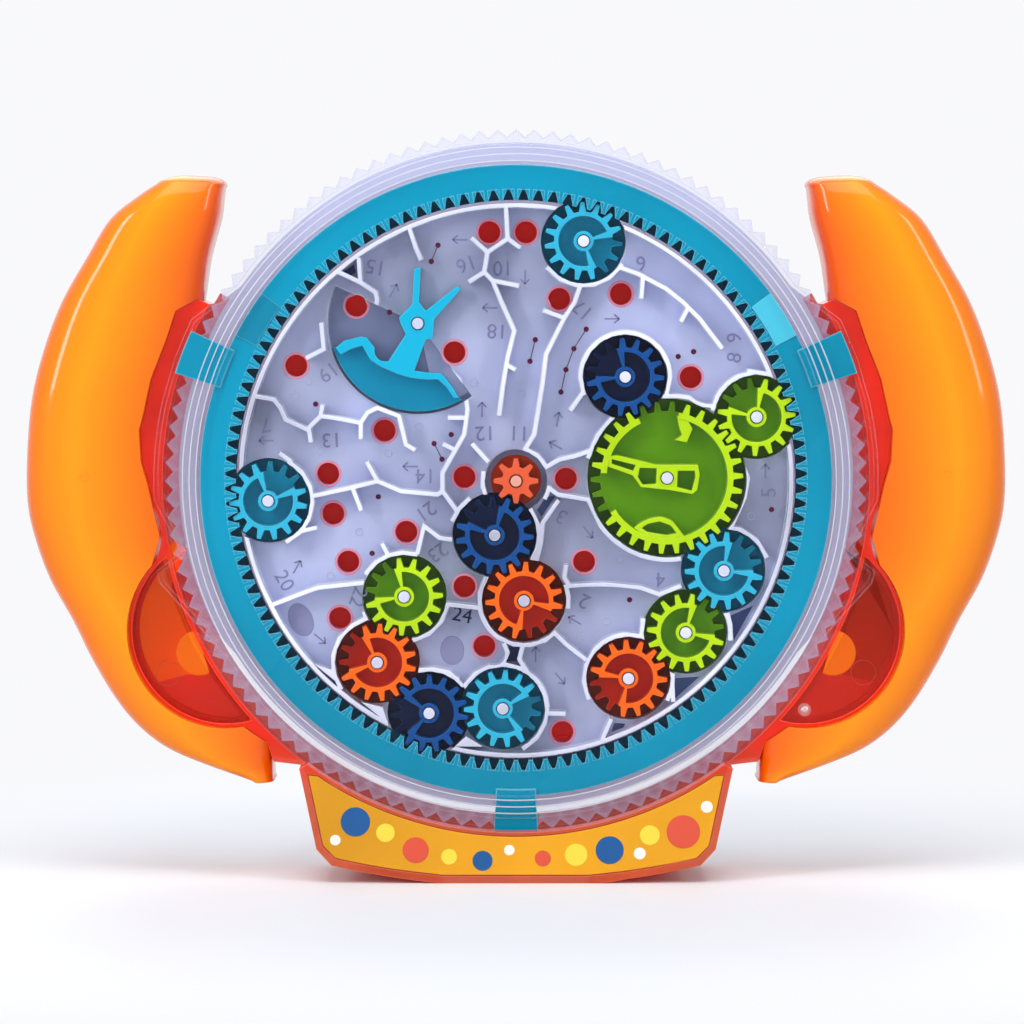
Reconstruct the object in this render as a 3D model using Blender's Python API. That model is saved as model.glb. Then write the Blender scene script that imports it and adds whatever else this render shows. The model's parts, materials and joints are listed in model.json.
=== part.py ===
"""Gear maze puzzle: a ball maze on a disc that turns inside a fixed ring gear.

The frame stands still: a red cradle with two orange handles, a clear front cover,
a rear cover, a cyan ring gear and a centre shaft with a star gear on its end.
The turntable turns on that shaft: a clear knurled wheel carries the maze board,
and the gears on the board roll in the ring gear as it goes round.

Lengths are millimetres in the code and become metres in the meshes. The front of
the toy faces -Y. Points (x, v) are measured from the disc's centre, v upwards.
"""
import math

import bpy
import bmesh
from mathutils import Vector

for old in list(bpy.data.objects):
    bpy.data.objects.remove(old, do_unlink=True)

# Whole object
MM = 0.001
GAP = 0.3
LEFT = -1
RIGHT = 1

# Depths along Y, from the front cover back to the rear cover
COVER_SEAT = -12.0
COVER_ROOM = 2.4
COVER_WALL = 1.2
COVER_DOME = 1.0
WALL_FRONT = -13.6
GEAR_FRONT = -12.4
FLOOR_FRONT = -8.0
WELL_FRONT = -5.4
WELL_THICK = 2.0
GEAR_RUN = 0.4
TRAY_DEPTH = 4.3
TRAY_WALL = 1.8
WEB_THICK = 2.0
CRADLE_BACK = 12.0
SPLIT = 0.15

# Gears, whose radii follow from the module and the numbers of teeth
MODULE = 1.4
GEAR_TEETH = 15
BIG_TEETH = 30
STAR_TEETH = 8
RING_TEETH = 120
ADDENDUM = 1.2
DEDENDUM = 1.65
BIG_SHIFT = 0.6
GEAR_TIP = GEAR_TEETH * MODULE / 2.0 + ADDENDUM
GEAR_ROOT = GEAR_TEETH * MODULE / 2.0 - DEDENDUM
BIG_TIP = BIG_TEETH * MODULE / 2.0 + ADDENDUM + BIG_SHIFT
BIG_ROOT = BIG_TEETH * MODULE / 2.0 - DEDENDUM + BIG_SHIFT
STAR_TIP = STAR_TEETH * MODULE / 2.0 + 1.15
STAR_ROOT = STAR_TEETH * MODULE / 2.0 - 1.3
TOOTH_BASE = 2.1
TOOTH_TIP = 1.2
HUB_RADIUS = 3.0
RIM_WALL = 1.35
BIG_RIM_WALL = 1.8
RIM_RADIUS = GEAR_ROOT - RIM_WALL
BIG_RIM_RADIUS = BIG_ROOT - BIG_RIM_WALL
PIN_RADIUS = 1.7
PIN_CLEARANCE = 0.3
PIN_PROUD = 0.6
ARM_ANGLE = 14.0

# Ring gear and turning wheel, each sized from the one inside it
RING_TOOTH_HEIGHT = 3.15
RING_WALL = 7.65
RING_RUN = 1.2
WHEEL_RIM = 6.9
KNURL_DEPTH = 2.4
RING_TIP = RING_TEETH * MODULE / 2.0
RING_ROOT = RING_TIP + RING_TOOTH_HEIGHT
RING_OUTER = RING_ROOT + RING_WALL
RING_FRONT = -13.2
RING_BACK = -5.9
RING_TOOTH_BASE = 2.6
RING_TOOTH_TIP = 1.3
LUG_THICK = 1.8
LUG_WIDTH = 13.5
WHEEL_INNER = RING_OUTER + RING_RUN
WHEEL_ROOT = WHEEL_INNER + WHEEL_RIM
WHEEL_TIP = WHEEL_ROOT + KNURL_DEPTH
WHEEL_FRONT = -11.5
WHEEL_BACK = 11.7
KNURLS = 120

# Ball
BALL_RADIUS = 2.0
BALL_LIFT = 0.9

# Board
BOARD_RUN = 0.9
BOARD_RIM = 1.2
WALL_WIDTH = 1.26
WELL_CLEARANCE = 1.05
TRAP_CLEARANCE = 1.3
TRAY_INSET = 2.1
BOARD_RADIUS = RING_TIP - BOARD_RUN
TRAP_RADIUS = BALL_RADIUS + TRAP_CLEARANCE
TRAY_RADIUS = BOARD_RADIUS - TRAY_INSET

# Centre
SHAFT_RADIUS = 3.0
SHAFT_FLANGE = 8.0
FLANGE_THICK = 2.0
SHAFT_RUN = 0.4
BUSH_WALL = 1.9
HUB_WALL = 2.5

# Cradle, pockets and base
WHEEL_RUN = 0.7
CRADLE_RADIUS = WHEEL_TIP + WHEEL_RUN
LUG_REACH = CRADLE_RADIUS + 1.0
CRADLE_WALL = 1.6
POCKET_RADIUS = 28.0
POCKET_REACH = 12.81
POCKET_TURN = -27.194
POCKET_WALL = 1.2
POCKET_FLOOR = -5.4
BALL_Y = POCKET_FLOOR - BALL_LIFT - BALL_RADIUS
BASE_DEPTH = 44.0
BASE_LIP = 1.3
BASE_LIFT = 14.0
BASE_TOP_RADIUS = CRADLE_RADIUS - BASE_LIP
AXIS_HEIGHT = CRADLE_RADIUS + BASE_LIFT
BASE_ARC = 240.0
BASE_FLAT = 22.0
BASE_WALL = 1.8
LABEL_THICK = 0.6
LABEL_MARGIN = 2.6
LABEL_SUNK = 0.9

# Handles
HANDLE_DEPTH = 36.0
HANDLE_WALL = 2.2

# Screws
SCREW_HEAD = 2.9
SCREW_HEAD_THICK = 1.8
SCREW_SHANK = 1.3
SCREW_CLEARANCE = 0.3
SCREW_BOSS = 4.4
SCREW_POST = 2.8
SCREW_SUNK = 2.2


def polar(radius, degrees, centre=(0.0, 0.0)):
    angle = math.radians(degrees)
    return (centre[0] + radius * math.cos(angle), centre[1] + radius * math.sin(angle))


def arc(centre, radius, start, end, steps):
    return [polar(radius, start + (end - start) * i / steps, centre) for i in range(steps + 1)]


def circle(centre, radius, sides):
    return [polar(radius, 360.0 * i / sides, centre) for i in range(sides)]


def on_board(points):
    """Points drawn for gears of module 1.4, spread to the module in use."""
    return [(x * MODULE / 1.4, v * MODULE / 1.4) for x, v in points]


def on_cradle(points):
    """Points drawn for a cradle of radius 106, spread to the radius in use."""
    return [(x * CRADLE_RADIUS / 106.0, v * CRADLE_RADIUS / 106.0) for x, v in points]


def mirrored(points, side):
    """The same outline on the left or the right half of the toy."""
    if side == RIGHT:
        return list(points)
    return [(-x, v) for x, v in reversed(points)]


def signed_area(points):
    pairs = zip(points, points[1:] + points[:1])
    return 0.5 * sum(a[0] * b[1] - b[0] * a[1] for a, b in pairs)


def offset(points, distance):
    """Move every edge of a closed outline outwards by distance, or inwards if negative."""
    sign = 1.0 if signed_area(points) > 0 else -1.0
    moved = []
    count = len(points)
    for i in range(count):
        before = Vector(points[i - 1])
        here = Vector(points[i])
        after = Vector(points[(i + 1) % count])
        first = (here - before).normalized()
        second = (after - here).normalized()
        normal_a = Vector((first.y, -first.x)) * sign
        normal_b = Vector((second.y, -second.x)) * sign
        middle = (normal_a + normal_b).normalized()
        stretch = 1.0 / max(0.5, middle.dot(normal_a))
        moved.append(tuple(here + middle * distance * stretch))
    return moved


def stroke(points, width):
    """Closed outline of a line drawn with a given width."""
    half = width / 2.0
    left = []
    right = []
    last = len(points) - 1
    for i, point in enumerate(points):
        here = Vector(point)
        before = (here - Vector(points[i - 1])).normalized() if i > 0 else None
        after = (Vector(points[i + 1]) - here).normalized() if i < last else None
        first = before or after
        second = after or before
        normal_a = Vector((-first.y, first.x))
        normal_b = Vector((-second.y, second.x))
        middle = (normal_a + normal_b).normalized()
        reach = half / max(0.6, middle.dot(normal_a))
        push = Vector((0.0, 0.0))
        if i == 0:
            push = second * -half * 0.6
        elif i == last:
            push = first * half * 0.6
        left.append(tuple(here + middle * reach + push))
        right.append(tuple(here - middle * reach + push))
    return left + right[::-1]


def solid_mesh(name, layers):
    """One closed mesh through a list of (y, outline) layers with equal point counts."""
    mesh_data = bmesh.new()
    rings = []
    for y, outline in layers:
        ring = [mesh_data.verts.new((x * MM, y * MM, (v + AXIS_HEIGHT) * MM)) for x, v in outline]
        rings.append(ring)
    for lower, upper in zip(rings, rings[1:]):
        for i in range(len(lower)):
            j = (i + 1) % len(lower)
            mesh_data.faces.new((lower[i], lower[j], upper[j], upper[i]))
    mesh_data.faces.new(rings[0])
    mesh_data.faces.new(rings[-1][::-1])
    bmesh.ops.recalc_face_normals(mesh_data, faces=mesh_data.faces)
    mesh = bpy.data.meshes.new(name)
    mesh_data.to_mesh(mesh)
    mesh_data.free()
    return mesh


def prism(outline, front, back, name="blank"):
    thing = bpy.data.objects.new(name, solid_mesh(name, [(front, outline), (back, outline)]))
    bpy.context.collection.objects.link(thing)
    return thing


def rod(centre, radius, front, back, sides=16):
    return prism(circle(centre, radius, sides), front, back)


def joined(things):
    """Put the meshes of several objects in the first one, as loose bodies."""
    mesh_data = bmesh.new()
    for thing in things:
        mesh_data.from_mesh(thing.data)
    mesh_data.to_mesh(things[0].data)
    mesh_data.free()
    for thing in things[1:]:
        bpy.data.objects.remove(thing, do_unlink=True)
    return things[0]


def combine(target, tools, operation):
    """Boolean of target with tools, kept as a plain mesh; the tools are used up."""
    tool = joined(tools)
    modifier = target.modifiers.new("combine", "BOOLEAN")
    modifier.operation = operation
    modifier.object = tool
    modifier.solver = "EXACT"
    modifier.use_self = len(tools) > 1
    graph = bpy.context.evaluated_depsgraph_get()
    target_mesh = bpy.data.meshes.new_from_object(target.evaluated_get(graph))
    target.modifiers.clear()
    target.data = target_mesh
    bpy.data.objects.remove(tool, do_unlink=True)
    return target


def cut(target, *tools):
    return combine(target, list(tools), "DIFFERENCE")


def add(target, *tools):
    return combine(target, list(tools), "UNION")


def plastic(name, colour, roughness, metallic=0.0):
    material = bpy.data.materials.get(name)
    if material is None:
        material = bpy.data.materials.new(name)
        material.use_nodes = True
        shader = material.node_tree.nodes["Principled BSDF"]
        shader.inputs["Base Color"].default_value = (*colour, 1.0)
        shader.inputs["Roughness"].default_value = roughness
        shader.inputs["Metallic"].default_value = metallic
    return material


def finish(thing, name, material, pivot=(0.0, 0.0), parent=None):
    """Name a node, clean its mesh, and put its origin on the axis that it turns about."""
    mesh_data = bmesh.new()
    mesh_data.from_mesh(thing.data)
    bmesh.ops.remove_doubles(mesh_data, verts=mesh_data.verts, dist=0.002 * MM)
    bmesh.ops.dissolve_limit(
        mesh_data, angle_limit=math.radians(0.5), verts=mesh_data.verts, edges=mesh_data.edges
    )
    bmesh.ops.triangulate(mesh_data, faces=mesh_data.faces)
    origin = Vector((pivot[0] * MM, 0.0, (pivot[1] + AXIS_HEIGHT) * MM))
    bmesh.ops.translate(mesh_data, vec=-origin, verts=mesh_data.verts)
    mesh_data.to_mesh(thing.data)
    mesh_data.free()
    thing.name = name
    thing.data.name = name
    thing.data.materials.clear()
    thing.data.materials.append(material)
    thing.data.shade_smooth()
    thing.data.set_sharp_from_angle(angle=math.radians(30))
    thing.location = origin
    if parent is not None:
        thing.parent = parent
        thing.location = origin - parent.location
    return thing


CLEAR = plastic("clear plastic", (0.82, 0.83, 0.93), 0.1)
MILKY = plastic("milky plastic", (0.72, 0.72, 0.86), 0.2)
LAVENDER = plastic("lavender plastic", (0.55, 0.56, 0.75), 0.4)
RED = plastic("translucent red plastic", (0.65, 0.05, 0.01), 0.15)
TRAP_RED = plastic("opaque red plastic", (0.55, 0.01, 0.01), 0.3)
ORANGE = plastic("orange gloss plastic", (1.0, 0.27, 0.0), 0.15)
CYAN = plastic("cyan plastic", (0.01, 0.42, 0.6), 0.35)
TEAL = plastic("teal plastic", (0.03, 0.4, 0.55), 0.35)
LIME = plastic("lime plastic", (0.3, 0.55, 0.01), 0.35)
NAVY = plastic("navy plastic", (0.01, 0.07, 0.25), 0.35)
GEAR_ORANGE = plastic("orange red plastic", (0.8, 0.12, 0.02), 0.35)
LABEL = plastic("label card", (0.85, 0.35, 0.02), 0.4)
STEEL = plastic("steel", (0.6, 0.6, 0.62), 0.15, 1.0)
WHITE = plastic("white plastic", (0.85, 0.85, 0.88), 0.3)

# The turntable empty sits on the disc's axis and carries all that goes round
turntable = bpy.data.objects.new("turntable_axis", None)
bpy.context.collection.objects.link(turntable)
turntable.location = (0.0, 0.0, AXIS_HEIGHT * MM)

# Gear train: centre, direction of the open sector, the gear that drives it, teeth, material
PLANET_SHIFT = 1.1
PLANET_RADIUS = (RING_TEETH - GEAR_TEETH) * MODULE / 2.0 + PLANET_SHIFT
GEARS = {
    "gear_teal_top": (polar(PLANET_RADIUS, 74.3), -24.4, "ring", GEAR_TEETH, TEAL),
    "gear_teal_left": (polar(PLANET_RADIUS, 184.6), 60.4, "ring", GEAR_TEETH, TEAL),
    "gear_lime_right": (polar(PLANET_RADIUS, 14.9), 125.4, "ring", GEAR_TEETH, LIME),
    "gear_navy_bottom_left": (polar(PLANET_RADIUS, 249.5), 181.8, "ring", GEAR_TEETH, NAVY),
    "gear_big_lime": (on_board([(45.3, 0.9)])[0], 0.0, "gear_lime_right", BIG_TEETH, LIME),
    "gear_navy_right": (on_board([(32.7, 31.2)])[0], 138.8, "gear_big_lime", GEAR_TEETH, NAVY),
    "gear_teal_right": (on_board([(62.4, -27.0)])[0], 34.0, "gear_big_lime", GEAR_TEETH, TEAL),
    "gear_lime_bottom_right": (on_board([(51.0, -45.6)])[0], 35.2, "gear_teal_right", GEAR_TEETH, LIME),
    "gear_orange_right": (on_board([(33.8, -59.4)])[0], 209.4, "gear_lime_bottom_right",
                          GEAR_TEETH, GEAR_ORANGE),
    "gear_teal_bottom": (on_board([(-4.0, -68.5)])[0], -9.3, "gear_navy_bottom_left", GEAR_TEETH, TEAL),
    "gear_orange_left": (on_board([(-41.7, -54.6)])[0], 166.0, "gear_navy_bottom_left",
                         GEAR_TEETH, GEAR_ORANGE),
    "gear_lime_left": (on_board([(-33.6, -34.8)])[0], 141.0, "gear_orange_left", GEAR_TEETH, LIME),
    "gear_navy_centre": (on_board([(-6.4, -16.3)])[0], 115.8, "star", GEAR_TEETH, NAVY),
    "gear_orange_centre": (on_board([(2.4, -36.0)])[0], -56.5, "gear_navy_centre", GEAR_TEETH, GEAR_ORANGE),
}
STAR_PHASE = 90.0


def tip_radius(teeth):
    return {GEAR_TEETH: GEAR_TIP, BIG_TEETH: BIG_TIP, STAR_TEETH: STAR_TIP}[teeth]


def root_radius(teeth):
    return {GEAR_TEETH: GEAR_ROOT, BIG_TEETH: BIG_ROOT, STAR_TEETH: STAR_ROOT}[teeth]


def tooth_phase(name):
    """Direction of one tooth, so that each gear's teeth stand in its driver's gaps."""
    if name == "star":
        return STAR_PHASE
    centre, _, driver, teeth, _ = GEARS[name]
    if driver == "ring":
        line = math.degrees(math.atan2(centre[1], centre[0]))
        ring_step = 360.0 / RING_TEETH
        ring_gap = ring_step * (math.floor(line / ring_step) + 0.5)
        return line + (ring_gap - line) * RING_TEETH / teeth
    driver_centre = (0.0, 0.0) if driver == "star" else GEARS[driver][0]
    driver_teeth = STAR_TEETH if driver == "star" else GEARS[driver][3]
    line = math.degrees(math.atan2(centre[1] - driver_centre[1], centre[0] - driver_centre[0]))
    turned = (tooth_phase(driver) - line) * driver_teeth / teeth
    return line + 180.0 + 180.0 / teeth - turned


def toothed(centre, teeth, phase, root, tip, base_width=TOOTH_BASE, tip_width=TOOTH_TIP):
    """Outline of a gear, four points to a tooth; an internal gear has its tip inside its root."""
    base_half = math.degrees(base_width / 2.0 / root)
    tip_half = math.degrees(tip_width / 2.0 / tip)
    points = []
    for i in range(teeth):
        middle = phase + 360.0 * i / teeth
        points.append(polar(root, middle - base_half, centre))
        points.append(polar(tip, middle - tip_half, centre))
        points.append(polar(tip, middle + tip_half, centre))
        points.append(polar(root, middle + base_half, centre))
    return points


def nearest_tooth(phase, teeth, direction, shift=0.0):
    step = 360.0 / teeth
    return phase + step * (round((direction - phase) / step - shift) + shift)


def wedge(centre, inner, outer, start, end, front, back, steps=3):
    """Part of a flat ring between two directions."""
    outline = arc(centre, outer, start, end, steps) + arc(centre, inner, end, start, steps)
    return prism(outline, front, back)


GEAR_BACK = WELL_FRONT - GEAR_RUN
BORE_RADIUS = PIN_RADIUS + PIN_CLEARANCE
OPEN_HALF = 1.5 * 360.0 / GEAR_TEETH
OVER = 1.0


def small_gear(name):
    centre, direction, _, teeth, material = GEARS[name]
    phase = tooth_phase(name)
    sector = nearest_tooth(phase, teeth, direction)
    body = prism(toothed(centre, teeth, phase, GEAR_ROOT, GEAR_TIP), GEAR_FRONT, GEAR_BACK)
    front = GEAR_FRONT - OVER
    gate_start = sector - OPEN_HALF
    gate_end = sector + OPEN_HALF
    gate = wedge(centre, HUB_RADIUS, GEAR_TIP + OVER, gate_start, gate_end, front, FLOOR_FRONT)
    start = sector + OPEN_HALF + ARM_ANGLE
    end = sector + 360.0 - OPEN_HALF - ARM_ANGLE
    hollow = wedge(centre, HUB_RADIUS, RIM_RADIUS, start, end, front, FLOOR_FRONT, 8)
    bore = rod(centre, BORE_RADIUS, front, GEAR_BACK + OVER, 8)
    cut(body, gate, hollow, bore)
    return finish(body, name, material, centre, turntable)


# Small gears, each with a gate three teeth wide that the ball can roll into
for gear_name in GEARS:
    if gear_name != "gear_big_lime":
        small_gear(gear_name)

# Big gear with two gates, a hooked rib, a bar with three pockets and an oval pocket
BIG = GEARS["gear_big_lime"][0]
BIG_PHASE = tooth_phase("gear_big_lime")
BIG_GATES = ((74.0, 118.0), (172.0, 212.0))
BAR = [(-17.9, 6.6), (-14.8, 6.8), (-3.3, 4.0), (9.2, 4.0), (9.8, 1.0), (9.0, -3.6), (7.6, -4.8),
       (0.8, -3.6), (-7.8, -2.7), (-10.3, 0.8), (-18.4, 3.7)]
HOOK = [(5.4, 18.4), (7.6, 14.8), (5.9, 10.7), (2.4, 11.4), (4.4, 12.9), (3.6, 15.4), (3.0, 18.7)]
OVAL = [(-9.9, -15.0), (-6.3, -12.6), (-2.1, -11.7), (1.9, -13.2), (5.1, -17.4), (0.0, -18.4),
        (-6.3, -17.4)]
SLOT = [(-16.6, 5.7), (-9.4, 3.9), (-10.2, 2.2), (-16.6, 4.3)]
POCKET_LEFT = [(-8.2, 3.1), (-3.1, 2.9), (-3.3, -1.7), (-7.3, -2.0), (-8.8, 0.3)]
POCKET_RIGHT = [(3.2, 2.2), (8.3, 2.2), (8.5, 0.3), (7.4, -3.8), (3.0, -2.7)]


def on_big(points):
    return [(BIG[0] + x, BIG[1] + v) for x, v in on_board(points)]


big_gear = prism(toothed(BIG, BIG_TEETH, BIG_PHASE, BIG_ROOT, BIG_TIP), GEAR_FRONT, GEAR_BACK)
rib_foot = FLOOR_FRONT + 0.5
ribs = [prism(on_big(shape), GEAR_FRONT + 0.2, rib_foot) for shape in (BAR, HOOK, OVAL)]
big_front = GEAR_FRONT - OVER
for low, high in BIG_GATES:
    gate_start = nearest_tooth(BIG_PHASE, BIG_TEETH, low, 0.5)
    gate_end = nearest_tooth(BIG_PHASE, BIG_TEETH, high, 0.5)
    inner = BIG_RIM_RADIUS - 0.5
    cut(big_gear, wedge(BIG, inner, BIG_TIP + OVER, gate_start, gate_end, big_front, FLOOR_FRONT))
cut(big_gear, rod(BIG, BIG_RIM_RADIUS, big_front, FLOOR_FRONT, 40))
for rib in ribs:
    add(big_gear, rib)
big_pockets = [prism(on_big(shape), big_front, FLOOR_FRONT) for shape in (SLOT, POCKET_LEFT, POCKET_RIGHT)]
big_pockets.append(prism(offset(on_big(OVAL), -WALL_WIDTH), big_front, FLOOR_FRONT))
cut(big_gear, rod(BIG, BORE_RADIUS, big_front, GEAR_BACK + OVER, 12), *big_pockets)
finish(big_gear, "gear_big_lime", LIME, BIG, turntable)

# Star gear, fixed on the tip of the centre shaft, so the gear beside it rolls round it
star = prism(toothed((0, 0), STAR_TEETH, STAR_PHASE, STAR_ROOT, STAR_TIP, 2.3, 1.3), GEAR_FRONT, GEAR_BACK)
cut(star, rod((0, 0), BORE_RADIUS, GEAR_FRONT - OVER, GEAR_BACK + OVER, 12))
finish(star, "star_gear", GEAR_ORANGE)

# Swinging gate: a hub with two horns above and a curved weight below, on its own pin
SWING = on_board([(-29.4, 47.2)])[0]
SWING_MIN = -35.0
SWING_MAX = 2.0
WEIGHT_OUTER = 26.4 * MODULE / 1.4
SWING_BODY = [(-35, 49), (-31, 53), (-30.5, 63.5), (-28.5, 64), (-29, 53.5), (-27, 51), (-17.5, 58.5),
              (-16.5, 57.5), (-24.5, 48.5), (-25, 42.5), (-27, 42.5), (-31, 31.5), (-38.5, 35.5),
              (-33, 44), (-34.5, 47)]
WEIGHT_LEFT = 195.0
WEIGHT_RIGHT = 300.0
weight_edge = [(-54.0, 40.0), (-51.5, 42.0), (-46.5, 43.3), (-44.7, 43.0), (-42.2, 39.8), (-41.5, 36.8),
               (-38.5, 36.0), (-32.5, 33.3), (-26.5, 32.5), (-22.3, 32.3), (-19.3, 28.5), (-17.2, 25.0)]
weight_outline = on_board(weight_edge) + arc(SWING, WEIGHT_OUTER, WEIGHT_RIGHT, WEIGHT_LEFT, 12)
ridge_outline = [(-54.0, 40.0), (-51.5, 42.0), (-46.5, 43.3), (-44.7, 43.0), (-42.2, 39.8), (-41.5, 36.8),
                 (-38.5, 36.0), (-32.5, 33.3), (-26.5, 32.5), (-22.3, 32.3), (-19.3, 28.5), (-17.2, 25.0),
                 (-18.6, 25.0), (-20.6, 28.0), (-23.4, 30.6), (-30.0, 30.8), (-36.5, 32.6), (-40.6, 34.4),
                 (-43.6, 36.4), (-46.0, 40.6), (-49.5, 39.6), (-52.5, 38.0)]
gate = prism(on_board(SWING_BODY), GEAR_FRONT, FLOOR_FRONT - GEAR_RUN)
add(gate, prism(on_board(ridge_outline), GEAR_FRONT, FLOOR_FRONT - GEAR_RUN - 0.2))
add(gate, prism(weight_outline, FLOOR_FRONT - GEAR_RUN - 1.0, GEAR_BACK))
cut(gate, rod(SWING, BORE_RADIUS, GEAR_FRONT - OVER, WELL_FRONT, 12))
finish(gate, "swing_gate", CYAN, SWING, turntable)

# Maze board: a disc with a rim, walls, gear wells with their pins, trap holes and bosses behind
RIM_MIDDLE = BOARD_RADIUS - BOARD_RIM / 2.0
TRAPS = [(-48, 52.5), (-8, 74.5), (3, 74.5), (13, 54.5), (31.5, 56), (52.5, 31), (-66, 34.5),
         (-39.5, 15), (-56.5, 2), (-18.5, 38.5), (-15.5, 1), (15, 0.5), (-55, -10), (-50.5, -24.5),
         (-53, -41.5), (-33, -15.5), (-15.5, -32), (20.5, -24.5), (-9.5, -50), (14, -76)]
WALLS = [
    [(-53.5, 62.8), (-46.5, 59.5), (-42, 56.5), (-41.5, 54.5), (-42, 50), (-42.5, 46.5)],
    [(-47, 66.5), (-46.5, 59.5)],
    [(-58.2, 47), (-57.5, 39.5), (-62.5, 37)],
    [(-32, 76), (-30, 70), (-28.5, 66.5)],
    [(-3, 82), (-2.5, 72.5), (-8.5, 68.5), (-9.5, 62.5), (-7, 60), (-4.5, 54), (-0.5, 45), (-2.5, 37),
     (-4, 28), (-5, 20)],
    [(-2.5, 72.5), (1, 70)],
    [(-8.5, 68.5), (-13, 72.5)],
    [(-9.5, 62.5), (-13.8, 59.8)],
    [(-7, 60), (0.5, 58.5)],
    [(-3, 35), (-0.5, 33.5)],
    [(31.5, 63.8), (36.5, 62), (45, 57.5), (50, 53.5), (55, 48.5), (61.5, 40)],
    [(38, 61.5), (37.5, 55)],
    [(51.5, 52), (49.5, 48)],
    [(19.2, 58.5), (17.5, 53.5), (14.5, 49), (9, 38), (8, 29.5), (5.5, 14), (3, 10)],
    [(8.5, 51), (14, 49)],
    [(76, 32), (69.5, 33)],
    [(59, 22.5), (55, 23), (52, 25), (48.5, 25.5), (43.5, 25.5)],
    [(20, 26.5), (16.5, 21.5)],
    [(22, 9), (17.5, 7.5), (13, 6.5), (9, 4.2)],
    [(9.8, -2), (12.5, -4), (21.5, -5.5)],
    [(-78.8, 25.6), (-72.5, 24.5), (-70.5, 22), (-69, 18.5), (-62.5, 15.5), (-58.5, 19.5), (-54.5, 19),
     (-46.5, 17.5), (-44.5, 20.5), (-41.5, 22), (-35, 19.5), (-33, 11), (-30.5, 9.5)],
    [(-62, 15.5), (-61.5, 12)],
    [(-58.5, 19.5), (-58, 22.5)],
    [(-46.5, 17.5), (-46.5, 13)],
    [(-61.5, -4.6), (-49.5, -2), (-41.5, 0), (-34.5, -3), (-23.5, -4), (-22, -3)],
    [(-49, -2), (-46.5, -8.5)],
    [(-41.5, 0), (-44.5, 5.5)],
    [(-70.5, 8.2), (-67.5, 6)],
    [(-60, -14), (-64.5, -15)],
    [(-20.5, 34.0), (-17.2, 30.5), (-15, 25), (-14.5, 21.5), (-15.5, 14), (-22, 2.5), (-22, -3), (-18, -8.5)],
    [(-20, 19), (-15, 19)],
    [(-18.5, 9.5), (-21.5, 11)],
    [(-13, 11), (-8.5, 6)],
    [(-73.2, -37.2), (-65, -34), (-59.5, -32), (-45.8, -30.5)],
    [(-29.5, -21.5), (-27.5, -13.5), (-23, -17), (-19.5, -17.5)],
    [(-40, -19), (-38.5, -22)],
    [(-20.5, -37), (-11.2, -38)],
    [(-3.5, -49), (-2.5, -51.5), (-4, -55)],
    [(2, -49.5), (1, -53.5), (3.5, -57.5)],
    [(8.5, -48), (11.5, -45.5), (15, -49), (20.8, -53.5)],
    [(15, -25.5), (14.5, -29), (16, -31.5)],
    [(15.5, -31.5), (26.5, -31), (37.5, -32), (43, -34), (49.2, -31.5)],
    [(67.5, 5.8), (69.5, 1), (68.5, -5), (64.5, -13.8)],
    [(-45.5, -39.5), (-45, -41.2), (-49, -43.3)],
    [(-29, -56.8), (-25, -56.5), (-20, -57.5), (-16.2, -61.5)],
    [(9.5, -69.8), (14.5, -70)],
    [(38, -47.5), (38, -41.5)],
    [(28.5, -71.8), (26, -77.5)],
    [(63.5, -39.8), (64.3, -43), (64.5, -47.5)],
    [(46.8, -57.5), (47.2, -66)],
    [(6.0, -24.4), (7.4, -18.5), (8, -12.5), (12.5, -6)],
]
WELL_ARCS = [
    ("gear_teal_top", 217, 328), ("gear_teal_left", -65, 61), ("gear_lime_right", 95, 170),
    ("gear_big_lime", 132, 165), ("gear_big_lime", 195, 279), ("gear_navy_right", -22, 202),
    ("gear_teal_right", 19, 92), ("gear_lime_bottom_right", 163, 200), ("gear_lime_bottom_right", -8, 28),
    ("gear_orange_right", 73, 206), ("gear_orange_right", -28, 8), ("gear_navy_bottom_left", 50, 105),
    ("gear_teal_bottom", -62, 149), ("gear_orange_left", 125, 215), ("gear_lime_left", 74, 148),
    ("gear_lime_left", -80, -9), ("gear_navy_centre", -32, 38), ("gear_navy_centre", 125, 160),
    ("gear_orange_centre", 148, 300), ("gear_orange_centre", -8, 20),
]
STAR_ARCS = ((25, 75), (165, 215), (-30, -10))
LANDS = [
    [(-60.5, -55.0), (-53.0, -57.5), (-45.0, -66.8), (-40.0, -68.0), (-38.5, -72.8)],
    [(-18.5, -79.8), (-15, -76.8), (-10, -79.8)],
]
STAR_WELL = STAR_TIP + 2.7
BOARD_BACK = WELL_FRONT + WELL_THICK
BOARD_BOSSES = on_board([(-22, 66), (58, 44), (-62, -25), (33, -40)])
BOSS_RADIUS = 3.0
TRAY_FRONT = BOARD_BACK + GAP
TRAY_FLOOR = TRAY_FRONT + TRAY_DEPTH
TRAY_BACK = TRAY_FLOOR + TRAY_WALL
WEB_FRONT = TRAY_BACK + GAP
WEB_BACK = WEB_FRONT + WEB_THICK


def well_radius(name):
    return tip_radius(GEARS[name][3]) + WELL_CLEARANCE


def well_sides(name):
    return 30 if GEARS[name][3] == BIG_TEETH else 20


def arc_wall(centre, radius, start, end):
    steps = max(2, round((end - start) / 21.0))
    middle = radius + WALL_WIDTH / 2.0
    return prism(stroke(arc(centre, middle, start, end, steps), WALL_WIDTH), WALL_FRONT, FLOOR_FRONT + 1.0)


def swing_space(grow, front, back):
    """The space that the weight sweeps through, from one end of its swing to the other."""
    outer = WEIGHT_OUTER + grow
    start = WEIGHT_LEFT + SWING_MIN - 3.0 - grow * 2.0
    end = WEIGHT_RIGHT + SWING_MAX + 3.0 + grow * 2.0
    return wedge(SWING, 3.4, outer, start, end, front, back, 20)


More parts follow.
